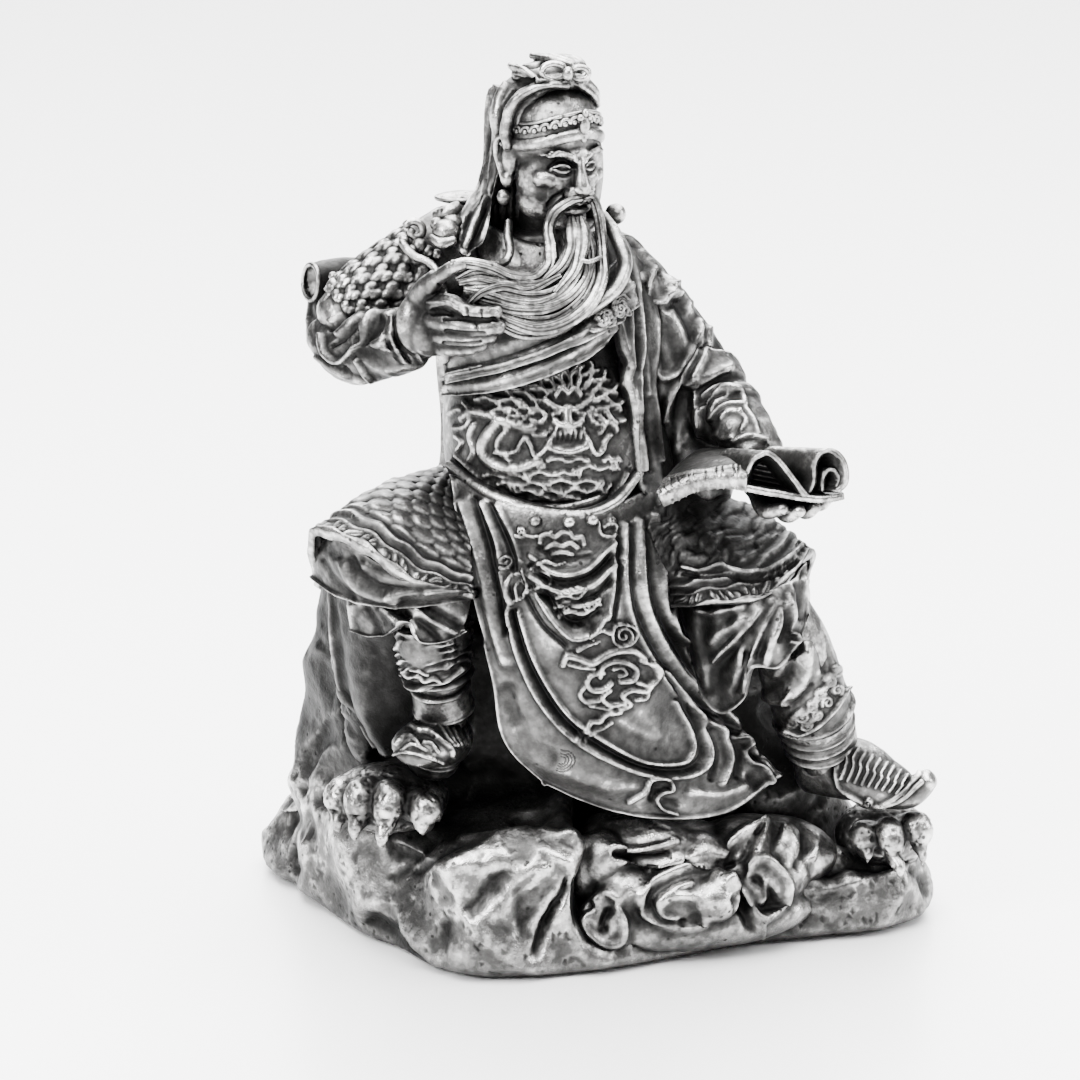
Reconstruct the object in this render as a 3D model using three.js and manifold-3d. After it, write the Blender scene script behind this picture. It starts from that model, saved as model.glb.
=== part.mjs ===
// A bearded warrior cast in one piece with the rock he sits on. He wears armour under a robe,
// draws his beard aside with his right hand and holds an open book on his left hand.
// An animal's pelt lies over the rock, its paws under his boots and its head below the robe's hem.
// Millimetres, +Z up, the viewer's side is -Y, and the origin is on the underside, below the lap.
import * as THREE from 'three';
import { mergeVertices } from 'three/addons/utils/BufferGeometryUtils.js';
import Module from 'manifold-3d';

const wasm = await Module();
wasm.setup();

// Driving sizes, in millimetres.
const FIGURE_HEIGHT = 193; // from the rock's high ledge to the crown of the headcloth
const LEDGE = 33; // height of the rock's high ledge, under the right boot
const LOW_LEDGE = 19; // height of the rock's low ledge, under the left boot
const ROCK_WIDTH = 176;
const ROCK_DEPTH = 115;
const CLOTH = 1.8; // thickness of hanging cloth
const ARMOUR = 2.2; // thickness of the skirts that hang over the thighs
const PAGE = 1.1; // thickness of a turned leaf
const BOOK_BLOCK = 4.4; // thickness of the closed leaves
const FACETS = 9800; // flat faces of the finished casting

// The figure is a free form. Its points are laid out on a grid that is 193 units high from the
// ledge to the crown, with the ledge at 33.
const GRID_LEDGE = 33;
const unit = FIGURE_HEIGHT / 193;

const at = ([x, y, z]) => new THREE.Vector3(x * unit, y * unit, LEDGE + (z - GRID_LEDGE) * unit);
const span = ([x, y, z]) => new THREE.Vector3(x, y, z).multiplyScalar(unit);
const clamp01 = (t) => Math.min(1, Math.max(0, t));
const mix = (a, b, t) => a + (b - a) * t;

// A repeatable value from -1 to 1 for the rough faces of the rock.
const rough = (i, k) => 2 * (Math.abs(Math.sin(i * 12.9898 + k * 78.233) * 43758.5453) % 1) - 1;

// A soft ridge of width w round c.
const ridge = (t, c, w) => Math.exp(-(((t - c) / w) ** 2));

const solids = [];

// Adds a closed mesh, given as points and triangles, to the casting.
function addSolid(points, triangles) {
  const geometry = new THREE.BufferGeometry().setFromPoints(points);
  geometry.setIndex(triangles);
  const merged = mergeVertices(geometry, 1e-4);
  const solid = new wasm.Manifold(
    new wasm.Mesh({
      numProp: 3,
      vertProperties: merged.attributes.position.array,
      triVerts: new Uint32Array(merged.index.array),
    }),
  );
  solids.push(solid);
}

// Joins rings of points into a closed skin, each end drawn together in its own point.
function addRings(rings, startPoint, endPoint) {
  const sides = rings[0].length;
  const points = rings.flat();
  const triangles = [];
  for (let i = 0; i + 1 < rings.length; i++) {
    for (let j = 0; j < sides; j++) {
      const a = i * sides + j;
      const b = i * sides + ((j + 1) % sides);
      triangles.push(a, b, b + sides, a, b + sides, a + sides);
    }
  }
  const start = points.push(startPoint) - 1;
  const end = points.push(endPoint) - 1;
  const last = (rings.length - 1) * sides;
  for (let j = 0; j < sides; j++) {
    const next = (j + 1) % sides;
    triangles.push(start, next, j, end, last + j, last + next);
  }
  addSolid(points, triangles);
}

// A limb, lock or finger: a tube along a smooth path, with a half width and half depth at each
// point. up is the direction that its depth faces, and shape(angle, t) presses its section.
function addLimb(path, radii, { sides = 10, steps = 8, up = [0, 0, 1], shape = () => 1, bulge = 0.5 } = {}) {
  const curve = new THREE.CatmullRomCurve3(path.map(at));
  const widths = new THREE.CatmullRomCurve3(
    radii.map((r) => span([Array.isArray(r) ? r[0] : r, Array.isArray(r) ? r[1] : r, 0])),
  );
  const rings = [];
  const ends = [];
  for (let i = 0; i <= steps; i++) {
    const t = i / steps;
    const centre = curve.getPoint(t);
    const along = curve.getTangent(t);
    const across = new THREE.Vector3(...up).cross(along).normalize();
    const depth = along.clone().cross(across);
    const { x: width, y: thick } = widths.getPoint(t);
    const ring = [];
    for (let j = 0; j < sides; j++) {
      const angle = (j / sides) * 2 * Math.PI;
      const press = shape(angle, t);
      ring.push(
        centre
          .clone()
          .addScaledVector(across, Math.cos(angle) * width * press)
          .addScaledVector(depth, Math.sin(angle) * thick * press),
      );
    }
    rings.push(ring);
    if (i === 0) ends.push(centre.clone().addScaledVector(along, -thick * bulge));
    if (i === steps) ends.push(centre.clone().addScaledVector(along, thick * bulge));
  }
  addRings(rings, ends[0], ends[1]);
}

// A rounded lump with its own half sizes, turned about Z and then tipped about X.
function addLump(centre, half, { turn = 0, tip = 0, sides = 10, rows = 6 } = {}) {
  const turned = new THREE.Euler(tip, 0, turn, 'ZXY');
  const place = (x, y, z) =>
    new THREE.Vector3(x * half[0], y * half[1], z * half[2])
      .applyEuler(turned)
      .multiplyScalar(unit)
      .add(at(centre));
  const rings = [];
  for (let i = 1; i < rows; i++) {
    const polar = (i / rows) * Math.PI;
    const ring = [];
    for (let j = 0; j < sides; j++) {
      const angle = (j / sides) * 2 * Math.PI;
      ring.push(place(Math.sin(polar) * Math.cos(angle), Math.sin(polar) * Math.sin(angle), -Math.cos(polar)));
    }
    rings.push(ring);
  }
  addRings(rings, place(0, 0, -1), place(0, 0, 1));
}

// A smooth surface through a net of points. Seen from outside, rows run from top to bottom and
// each row runs from left to right.
function net(rows) {
  const curves = rows.map((row) => new THREE.CatmullRomCurve3(row.map(at)));
  return (u, v) => new THREE.CatmullRomCurve3(curves.map((c) => c.getPoint(u))).getPoint(v);
}

// Hanging cloth or plate: the surface with a height added outwards, and a back thick behind it.
function addSheet(surface, across, down, thick, height = () => 0) {
  const columns = across + 1;
  const grid = [];
  for (let j = 0; j <= down; j++) {
    for (let i = 0; i <= across; i++) grid.push(surface(i / across, j / down));
  }
  const cell = (i, j) => grid[Math.min(down, Math.max(0, j)) * columns + Math.min(across, Math.max(0, i))];
  const front = [];
  const back = [];
  for (let j = 0; j <= down; j++) {
    for (let i = 0; i <= across; i++) {
      const du = cell(i + 1, j).clone().sub(cell(i - 1, j));
      const dv = cell(i, j + 1).clone().sub(cell(i, j - 1));
      const out = dv.cross(du).normalize();
      const here = cell(i, j);
      front.push(here.clone().addScaledVector(out, height(i / across, j / down) * unit));
      back.push(here.clone().addScaledVector(out, -thick));
    }
  }
  const triangles = [];
  const n = front.length;
  for (let j = 0; j < down; j++) {
    for (let i = 0; i < across; i++) {
      const a = j * columns + i;
      const b = a + 1;
      const c = a + columns + 1;
      const d = a + columns;
      triangles.push(a, d, c, a, c, b, n + a, n + c, n + d, n + a, n + b, n + c);
    }
  }
  const wall = (p, q) => triangles.push(p, q, n + q, p, n + q, n + p);
  for (let i = 0; i < across; i++) {
    wall(i, i + 1);
    wall(down * columns + i + 1, down * columns + i);
  }
  for (let j = 0; j < down; j++) {
    wall((j + 1) * columns, j * columns);
    wall(j * columns + across, (j + 1) * columns + across);
  }
  addSolid([...front, ...back], triangles);
}

// The rock's foot in plan, as shares of its width and depth from the back left round the front,
// with the share of the ledge's height that its rim reaches.
const FOOT = [
  [-0.42, 0.47, 0.6], [-0.392, 0.322, 0.75], [-0.347, 0.165, 0.9], [-0.273, -0.043, 1], [-0.21, -0.148, 1],
  [-0.159, -0.261, 1], [-0.085, -0.322, 1], [-0.017, -0.322, 1], [0.045, -0.304, 1], [0.074, -0.287, 0.5],
  [0.136, -0.252, 0.55], [0.216, -0.191, 0.7], [0.313, -0.122, 0.9], [0.403, -0.078, 1], [0.494, -0.035, 1],
  [0.551, 0.026, 1], [0.574, 0.139, 0.9], [0.568, 0.313, 0.8], [0.523, 0.487, 0.75], [0.409, 0.591, 0.75],
  [0.239, 0.643, 0.8], [0.045, 0.678, 0.9], [-0.17, 0.67, 0.8], [-0.341, 0.609, 0.6],
];
const FOOT_CENTRE = [0.045, 0.191];
const HIGH_LEDGE_END = 9; // where the high ledge steps down to the low one

function addRockFoot() {
  const rim = (i) => (i < HIGH_LEDGE_END || i > FOOT.length - 4 ? LEDGE : LOW_LEDGE) * FOOT[i][2];
  const ring = (inset, level, shake, k) =>
    FOOT.map(([x, y], i) => {
      const reach = 1 - inset + (shake * rough(i, k)) / 60;
      const height = level(i);
      return new THREE.Vector3(
        mix(FOOT_CENTRE[0], x, reach) * ROCK_WIDTH,
        mix(FOOT_CENTRE[1], y, reach) * ROCK_DEPTH,
        height + (height > 0 ? shake * rough(i, k + 7) * 0.5 : 0),
      );
    });
  const rings = [
    ring(0.02, () => 0, 0, 0),
    ring(0, (i) => rim(i) * 0.16, 0.6, 1),
    ring(-0.005, (i) => rim(i) * 0.5, 1.6, 2),
    ring(0.03, (i) => rim(i) * 0.9, 1.4, 3),
    ring(0.12, (i) => rim(i) + 1, 1.5, 4),
    ring(0.5, (i) => rim(i) + 5, 2, 5),
  ];
  const middle = (height) => new THREE.Vector3(FOOT_CENTRE[0] * ROCK_WIDTH, FOOT_CENTRE[1] * ROCK_DEPTH, height);
  addRings(rings, middle(0), middle(LEDGE));
}

// The seat: the rock behind the legs, in rough rings that narrow up to the lap.
function addSeat() {
  const levels = [
    // height, middle x and y, half width, half depth
    [9, -8, 36, 54, 33], [21, -10, 37, 57, 34], [34, -10, 36, 55, 34], [52, -11, 34, 51, 33],
    [68, -10, 33, 48, 31], [83, -8, 31, 46, 30], [98, -5, 27, 40, 27],
  ];
  const sides = 18;
  const rings = levels.map(([z, cx, cy, hx, hy], k) => {
    const ring = [];
    for (let j = 0; j < sides; j++) {
      const angle = (j / sides) * 2 * Math.PI;
      const reach = 1 + 0.07 * rough(j, k + 20);
      ring.push(at([cx + Math.cos(angle) * hx * reach, cy + Math.sin(angle) * hy * reach, z]));
    }
    return ring;
  });
  addRings(rings, at([-12, 33, 8]), at([-4, 22, 104]));
  // The boulder behind the left leg.
  addLimb([[44, 28, 8], [42, 28, 34], [37, 28, 62], [32, 26, 90]], [[42, 28], [35, 25], [27, 21], [18, 16]], {
    up: [0, 1, 0],
    sides: 12,
    steps: 5,
    bulge: 0,
    shape: (angle, t) => 1 + 0.05 * Math.cos(5 * angle + 7 * t),
  });
}

// A paw of the pelt: a pad, and toes that end in claws.
function addPaw(pad, padHalf, toes, claws, toeHalf) {
  addLump(pad, padHalf, { sides: 12 });
  toes.forEach((toe, i) => {
    const knuckle = mixPoint(toe, claws[i], 0.45);
    addLimb([mixPoint(pad, toe, 0.35), toe, knuckle, claws[i]], [1, 1, 0.72, 0.3].map((share) => toeHalf * share), {
      sides: 8,
      steps: 7,
    });
  });
}

const mixPoint = (a, b, t) => a.map((value, k) => mix(value, b[k], t));

function addPelt() {
  addPaw(
    [-38, -14, 42],
    [15, 12, 9],
    [[-49, -16, 43], [-44, -22, 44], [-37, -26, 45], [-28, -28, 44]],
    [[-50, -20, 36], [-46, -26, 36], [-39, -31, 36], [-29, -32, 38]],
    4.8,
  );
  addPaw(
    [88, 3, 28],
    [12, 9, 7],
    [[83, -3, 28], [90, -5, 30], [96, -2, 30]],
    [[84, -7, 22], [92, -9, 22], [97, -4, 23]],
    4.2,
  );
  // The folds and the head below the hem: brow, muzzle, cheek and the curl of an ear.
  addLump([34, -6, 20], [32, 16, 11], { sides: 14 });
  addLump([57, 0, 22], [18, 12, 9], { sides: 12 });
  addLump([26, -18, 31], [12, 8, 6], { turn: -0.3 });
  addLump([15, -22, 27], [6, 7, 9], { tip: 0.3 });
  addLump([37, -23, 18], [13, 8, 8], { turn: 0.3 });
  addLump([44, -26, 19], [7, 6, 6]);
  addLump([52, -10, 29], [7, 8, 6]);
  addLump([61, -8, 27], [5, 6, 7]);
  addLump([17, -29, 14], [6, 4, 6]);
  addLimb([[52, -17, 27], [58, -20, 27], [62, -19, 22], [60, -20, 15], [55, -21, 12]], [2, 3.2, 3.4, 2.6, 1.2], {
    sides: 8,
    steps: 10,
    up: [0, 1, 0],
  });
  // The flap of the pelt that hangs beside the right leg.
  addSheet(
    net([
      [[-53, -2, 96], [-49, -13, 94], [-42, -17, 94]],
      [[-52, 0, 74], [-46, -12, 75], [-37, -15, 80]],
      [[-48, 2, 60], [-43, -10, 60], [-34, -12, 68]],
      [[-42, 0, 48], [-38, -10, 49], [-31, -10, 54]],
    ]),
    5, 8, CLOTH * 5,
  );
}

// Diamond-shaped bumps in staggered rows, as of small plates laced together.
const plates = (u, v, columns, rows, rise) => {
  const row = v * rows;
  const column = u * columns + (Math.floor(row) % 2 ? 0.5 : 0);
  return rise * Math.abs(Math.sin(Math.PI * column)) * (0.4 + 0.6 * (row % 1));
};

function addLegs() {
  // Thighs, shins and the boots' feet.
  addLimb([[-12, 10, 112], [-28, -14, 112], [-40, -36, 106]], [[15, 14], [15, 13], [12, 12]], { steps: 5 });
  addLimb([[16, 10, 112], [36, -8, 111], [55, -25, 104]], [[15, 14], [15, 13], [12, 12]], { steps: 5 });
  addLimb([[-40, -36, 106], [-34, -27, 86], [-27, -18, 68], [-24, -14, 58]], [11, 10.5, 8, 7], { up: [0, 1, 0] });
  addLimb([[55, -25, 104], [65, -12, 78], [73, 1, 54], [74, 4, 46]], [11, 11, 8, 7], { up: [0, 1, 0] });
  addLimb([[-23, -12, 58], [-29, -23, 57], [-33, -31, 55]], [[7, 7], [7, 6], [5, 4]], { steps: 6 });
  addLimb([[71, 6, 42], [84, 1, 40], [93, -3, 39], [98, -4, 42]], [[7, 7.5], [7.5, 6], [6, 4.5], [3.5, 3]], { steps: 7 });
  // Guards on the shins, and the bands where the trousers are tied into the boots.
  addLimb([[-34.5, -27.5, 88], [-30, -23, 74]], [[11.6, 11.2], [10, 9.6]], { up: [0, 1, 0], steps: 3, bulge: 0.1 });
  addLimb([[-29, -22, 71], [-28, -20, 68]], [[10.2, 9.8], [10, 9.6]], { up: [0, 1, 0], steps: 1, bulge: 0.1 });
  addLimb([[64, -14, 80], [70, -4, 62]], [[12, 11.5], [10.4, 10]], { up: [0, 1, 0], steps: 3, bulge: 0.1 });
  addLimb([[71, -2, 60], [72, 0, 56]], [[11, 10.5], [10.6, 10]], { up: [0, 1, 0], steps: 1, bulge: 0.1 });
  addLimb([[72.5, 1, 54], [73, 2, 50]], [[10.5, 10], [10.2, 9.6]], { up: [0, 1, 0], steps: 1, bulge: 0.1 });
}

// The skirt of plates over a thigh, with a rolled border round its mouth at the knee.
function addThighSkirt(back, mouth, face) {
  const surface = net([back, back.map((p, i) => {
    const middle = mixPoint(p, mouth[Math.round((i / (back.length - 1)) * (mouth.length - 1))], 0.5);
    return [middle[0], middle[1] - 1, middle[2] + 3];
  }), mouth.filter((_, i) => i % 2 === 0)]);
  const border = (v) => 1.6 * ridge(v, 0.96, 0.05) + 1.2 * ridge(v, 0.8, 0.04);
  addSheet(surface, 20, 16, ARMOUR, (u, v) => border(v) + (v < 0.72 ? face(u, v) : 0));
}

// The gathered trouser leg below a skirt: a cuff that flares into a waving hem.
function addFrill(top, hem, waves, swing) {
  const rows = [top, top.map((p, i) => {
    const middle = mixPoint(p, hem[i], 0.55);
    return [middle[0], middle[1] - 0.6, middle[2]];
  }), hem];
  addSheet(net(rows), 18, 5, CLOTH, (u, v) => swing * v * Math.sin(u * waves * 2 * Math.PI));
}

function addSkirts() {
  addThighSkirt(
    [[-30, 12, 106], [-26, 2, 121], [-22, -10, 124], [-20, -18, 122], [-18, -25, 116]],
    [
      [-55, -22, 98], [-58, -32, 108], [-55, -38, 116], [-49, -44, 119], [-43, -49, 116],
      [-37, -52, 112], [-30, -50, 107], [-22, -46, 103], [-16, -40, 100],
    ],
    (u, v) => plates(u, v, 5, 8, 1.7),
  );
  addThighSkirt(
    [[26, -26, 114], [29, -18, 120], [34, -8, 121], [39, 4, 117], [40, 17, 106]],
    [
      [31, -27, 94], [37, -33, 96], [43, -37, 98], [50, -37, 98.5], [56, -33, 99],
      [62, -26, 102], [67, -16, 105], [70, -6, 101], [67, 0, 92],
    ],
    (u, v) => 0.9 * Math.cos(9 * u + 5 * v) * Math.cos(7 * v),
  );
  addFrill(
    [[-52, -24, 99], [-50, -34, 101], [-43, -43, 103], [-33, -44, 101], [-24, -38, 99], [-20, -30, 98]],
    [[-50, -22, 84], [-49, -32, 84], [-42, -41, 85], [-32, -42, 86], [-22, -37, 84], [-18, -28, 82]],
    3, 1.4,
  );
  addFrill(
    [[34, -24, 96], [39, -29, 97], [45, -32, 97], [50, -32, 98], [56, -30, 98], [62, -24, 99], [67, -12, 98]],
    [[37, -24, 81], [41, -28, 71], [45, -31, 68], [50, -32, 76], [57, -30, 81], [64, -23, 84], [69, -11, 85]],
    2, 1.2,
  );
  // Folds of the trousers gathered above the frills.
  addLimb([[-54, -24, 94], [-47, -38, 95], [-34, -45, 97], [-20, -38, 98]], [[2, 2.6], [2.6, 3.2], [2.6, 3], [2, 2]], {
    steps: 8,
    sides: 8,
  });
}

// The lap and the long front of the robe, which hangs between the legs to a curling hem.
function addRobeFront() {
  addLimb([[4, 0, 118], [8, -12, 96], [14, -14, 70], [20, -10, 42]], [[26, 20], [20, 20], [20, 16], [24, 14]], {
    up: [0, 1, 0],
    steps: 6,
    sides: 12,
  });
  const surface = net([
    [[-22, -20, 126], [-10, -31, 123], [5, -36, 121], [17, -33, 120], [29, -20, 122]],
    [[-18, -32, 106], [-6, -38, 104], [8, -40, 102], [21, -37, 102], [32, -26, 103]],
    [[-12, -33, 79], [-1, -37, 79], [12, -38, 80], [25, -34, 80], [36, -20, 82]],
    [[-9, -32, 62], [3, -34, 58], [17, -34, 56], [33, -25, 56], [47, -9, 62]],
    [[1, -29, 50], [13, -29, 44.5], [28, -27, 40], [46, -18, 38], [61, -3, 43]],
  ]);
  // Two lapels stand over the inner panel, which hangs in bows below the belt.
  const folds = (u, v) => {
    const inner = clamp01((u - 0.2) * 16) * clamp01((0.8 - u) * 16);
    const bows = Math.max(0, Math.cos(2 * Math.PI * (5 * v - 2.4 * (2 * u - 1) ** 2))) * clamp01((0.5 - v) * 5);
    return (
      2 * (1 - inner) + 0.9 * inner * bows +
      1.2 * (ridge(u, 0.02, 0.03) + ridge(u, 0.19, 0.03) + ridge(u, 0.81, 0.03) + ridge(u, 0.98, 0.03)) +
      1.4 * ridge(u, 0.09, 0.03) * clamp01(1.4 - 2 * v) + 1.4 * ridge(u, 0.9, 0.03) + 1.8 * ridge(v, 0.985, 0.02)
    );
  };
  addSheet(surface, 36, 24, CLOTH * 1.6, folds);
  // The hem turns up in a curl at the middle and at the right.
  addLimb([[24, -24, 46], [29, -29, 45], [32, -30, 41], [28, -30, 38], [32, -27, 34]], [2.6, 3, 3, 2.6, 1.6], {
    sides: 8,
    steps: 9,
    up: [0, 1, 0],
  });
  addLimb([[50, -8, 57], [55, -6, 55], [57, -5, 50], [62, -3, 49], [62, -2, 42]], [2.4, 3, 2.6, 2.6, 1.6], {
    sides: 8,
    steps: 9,
    up: [0, 1, 0],
  });
  // A knotted sash and cloud-headed ends lie on the cloth.
  addLimb([[-3, -38, 86], [6, -39.5, 85], [14, -39, 89], [22, -37, 90]], [[1.2, 1.2], [1.6, 1.3], [2, 1.5], [2.2, 1.6]], {
    sides: 6,
    steps: 6,
  });
  addLump([20, -36.5, 80], [8, 3, 7], { sides: 9, rows: 5 });
  addLimb([[18, -38, 76], [12, -37, 72], [20, -36, 70], [12, -36, 66], [10, -36, 62]], [[3, 2], [3, 2], [2.6, 2], [2, 1.6], [1.4, 1.2]], {
    sides: 6,
    steps: 9,
  });
}

function addTorso() {
  addLimb(
    [[4, 4, 106], [3, -4, 120], [3, -6, 136], [3, -4, 152], [3, -1, 166], [2, 1, 177], [1, 0, 184]],
    [[27, 21], [26, 24], [27, 26], [25.5, 21], [25, 17], [20, 13], [9, 9]],
    { up: [0, 1, 0], sides: 22, steps: 14, bulge: 0.1 },
  );
  // The belt, its studs, and the rolled edge of the belly armour.
  addLimb([[-22, -18, 128], [-11, -29, 123], [6, -34, 120], [20, -29, 121], [30, -14, 127]], [[2, 1.8], [2.4, 2], [2.4, 2.2], [2.4, 2], [2, 1.8]], {
    sides: 8,
    steps: 10,
  });
  for (const [x, y, z] of [[-1, -35.5, 118.5], [6, -36.5, 117.5], [14, -35, 118]]) {
    addLump([x, y, z], [2.2, 1.8, 2], { sides: 8, rows: 4 });
  }
  // A beast's mask on the belly, with its mane, whiskers and coiling body.
  addLump([9, -31.5, 143], [6.5, 3, 6], { sides: 10, rows: 6 });
  addLump([9, -33.2, 139], [4, 2.4, 2.6], { sides: 8, rows: 4 });
  const strand = (path, r) => addLimb(path, path.map(() => [r, r]), { sides: 5, steps: 5 });
  for (let i = 0; i < 6; i++) {
    const swing = mix(-1, 1, i / 5);
    const drop = Math.abs(swing);
    strand([[9 + 4 * swing, -31.5, 146], [9 + 9 * swing, -29.5, 151 - 3 * drop], [9 + 12 * swing, -27 + 2 * drop, 155 - 6 * drop]], 1.3);
  }
  addLimb(
    [[2, -31, 147], [-5, -30, 151], [-13, -27, 149], [-17, -24, 141], [-11, -28.5, 135], [-2, -31.5, 132], [8, -32.5, 129.5], [17, -30, 132], [22, -25, 139]],
    [1.6, 2.2, 2.4, 2.4, 2.4, 2.4, 2.2, 1.8, 1.2],
    { sides: 6, steps: 16 },
  );
}

// The folded collar and sashes that cross the chest, and the robe over the left side.
function addChestCloth() {
  const bands = [
    [[-24, -18, 152], [-12, -31, 154], [4, -32, 160], [16, -25, 168], [22, -14, 176]],
    [[-24, -20, 148], [-12, -32, 150], [4, -34, 156], [17, -28, 164], [24, -15, 173]],
    [[-23, -19, 144], [-12, -31.5, 146], [2, -34, 151], [14, -30, 158], [24, -21, 166]],
  ];
  for (const path of bands) {
    addLimb(path, [[2, 2.2], [3, 2.6], [3.4, 2.8], [3, 2.6], [2.4, 2]], { sides: 8, steps: 10 });
  }
  addLimb([[-19, -20, 157], [-8, -27, 160], [2, -27, 166]], [[3, 3], [6, 4], [3, 3]], { sides: 8, steps: 5 });
  addSheet(
    net([
      [[10, -16, 185], [15, -13, 185], [20, -6, 183], [24, 3, 179]],
      [[19, -25, 166], [23, -20, 166], [27, -12, 165], [30, -2, 162]],
      [[23, -26, 145], [27, -20, 144], [30, -12, 143], [32, -2, 142]],
      [[25, -23, 122], [30, -18, 118], [34, -10, 114], [36, 0, 112]],
    ]),
    12, 12, CLOTH * 2, (u, v) => 1.6 * Math.cos(u * 6 * Math.PI) * mix(0.7, 1.2, v),
  );
}

function addBack() {
  // A cape falls from the shoulders over the seat in broad folds.
  addSheet(
    net([
      [[22, 4, 180], [15, 12, 184], [0, 15, 186], [-16, 13, 184], [-26, 4, 181]],
      [[36, 12, 152], [20, 24, 154], [0, 27, 154], [-20, 24, 154], [-36, 12, 154]],
      [[38, 18, 118], [22, 31, 120], [0, 34, 120], [-20, 32, 120], [-34, 20, 118]],
      [[42, 30, 88], [24, 48, 86], [0, 54, 86], [-24, 50, 86], [-44, 34, 88]],
    ]),
    24, 12, CLOTH * 4, (u, v) => 1.8 * mix(0.4, 1.3, v) * Math.cos(u * 10 * Math.PI),
  );
}

function addRightArm() {
  addLimb([[-20, 0, 178], [-33, -4, 172], [-44, -7, 165], [-49, -8, 158]], [[12, 10], [11, 10.5], [10, 10], [8, 8]], {
    up: [0, 1, 0],
    sides: 18,
    steps: 12,
    shape: (angle, t) => 1 + plates(angle / (2 * Math.PI), t, 6, 6, 0.14),
  });
  // The turned-back sleeve below the elbow, the tied cuff and the rolled edge of cloth behind it.
  addLimb([[-50, -6, 156], [-46, -14, 156], [-39, -22, 158], [-33, -28, 161]], [[9, 8], [9, 8.4], [8.4, 8.2], [7.5, 7.5]], {
    sides: 12,
    steps: 7,
    shape: (angle, t) => 1 + 0.06 * Math.cos(3 * angle + 9 * t),
  });
  addLimb([[-34, -25, 160], [-32, -28, 161.5]], [[8.6, 8.4], [8.2, 8]], { steps: 1, bulge: 0.1 });
  addLimb([[-56, 0, 160], [-53, -7, 152], [-46, -14, 149], [-39, -20, 152]], [[2.4, 4], [3, 4.6], [3, 4.6], [2, 4]], {
    sides: 8,
    steps: 8,
  });
  // A flat-topped plate and a scroll stand on the shoulder.
  addLump([-19, 4, 190], [6.5, 5, 1.6], { sides: 10, rows: 4 });
  addLimb([[-18, 2, 178], [-19, 3, 189]], [[6, 5], [3, 3]], { steps: 2, bulge: 0.1 });
  addLimb([[-29, -9, 183], [-33, -9, 187], [-36, -8, 183], [-32, -10, 180]], [2, 2.2, 2, 1.4], { sides: 6, steps: 8 });
  addLump([-25, -9, 181], [6.5, 5, 5]);
  addLump([-27, -13, 179.5], [3.4, 3, 2.6], { sides: 8, rows: 5 });
  addLimb([[-57, 10, 172], [-58, 12, 166], [-57, 10, 158], [-55, 4, 152]], [3.2, 4, 4, 3], { steps: 6, sides: 8 });
  addLimb([[-56, 10, 168], [-46, 12, 170], [-34, 10, 172]], [[4, 6], [5, 7], [5, 6]], { steps: 4, sides: 8 });
}

// A hand: the palm and its fingers, each a path that tapers to its tip.
function addHand(palm, palmHalf, fingers, turn) {
  addLump(palm, palmHalf, { turn, sides: 10, rows: 6 });
  for (const { path, r } of fingers) {
    addLimb(path, path.map((_, i) => mix(r, r * 0.7, i / (path.length - 1))), { sides: 7, steps: 5 });
  }
}

function addRightHand() {
  addLimb([[-33, -28, 162], [-28, -33, 166]], [[6.5, 6], [7, 5.5]], { steps: 2 });
  addHand([-26, -36, 169], [8, 6, 8], [
    { path: [[-27, -38, 172], [-23, -43, 178], [-18, -46.5, 183]], r: 2.7 },
    { path: [[-23, -41, 172], [-16, -47, 173.5], [-9.5, -49, 173]], r: 2.5 },
    { path: [[-23, -40, 168], [-15, -46, 169], [-8, -47, 168.5]], r: 2.4 },
    { path: [[-23, -38, 165], [-15, -43, 165.5], [-9, -44, 165]], r: 2.3 },
    { path: [[-24, -36, 162.5], [-17, -40, 162], [-12, -41, 162]], r: 2.1 },
  ], 0.5);
}

function addLeftArm() {
  addLimb([[15, 2, 175], [26, 4, 167], [35, 5, 156], [41, 3, 146], [44, 0, 141]], [[9, 9], [11, 11], [11.5, 11], [11, 10.5], [9, 9]], {
    up: [0, 1, 0],
    sides: 14,
    steps: 8,
    shape: (angle, t) => 1 + 0.06 * Math.cos(4 * angle + 6 * t),
  });
  addLimb([[43, 2, 143], [48, -7, 140], [53, -16, 136.5], [56, -24, 132]], [[10.5, 10.5], [9.5, 9], [8, 7.4], [6, 5]], {
    sides: 12,
    steps: 7,
  });
  addLimb([[43, 1, 146], [45, -3, 142]], [[12.2, 11.6], [12, 11.4]], { steps: 1, bulge: 0.1 });
  addLimb([[50, -10, 139], [51, -12, 138]], [[9.8, 9.4], [9.4, 9]], { steps: 1, bulge: 0.1 });
  // The sleeve hangs in folds between the arm and the body, below a turned edge of the mantle.
  addLimb([[26, 0, 168], [31, -4, 154], [33, -5, 140], [34, -2, 126]], [[8, 8], [9, 8], [9.5, 8], [8, 7]], {
    up: [0, 1, 0],
    sides: 14,
    steps: 8,
    shape: (angle, t) => 1 + 0.1 * Math.cos(5 * angle + 3 * t),
  });
  addLimb([[25, -10, 170], [26, -11, 160], [30, -11, 153], [35, -8, 156], [38, -5, 165]], [1.4, 1.6, 1.8, 1.6, 1.2], {
    sides: 6,
    steps: 10,
  });
  // A beast's head in relief on the shoulder.
  addLump([33, -2, 170], [5, 5, 4.4], { sides: 8, rows: 5 });
  addLimb([[27, -6, 169], [31, -8, 172], [36, -5, 169], [38, -5, 164]], [1.6, 2, 1.8, 1.2], { sides: 6, steps: 6 });
}

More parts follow.
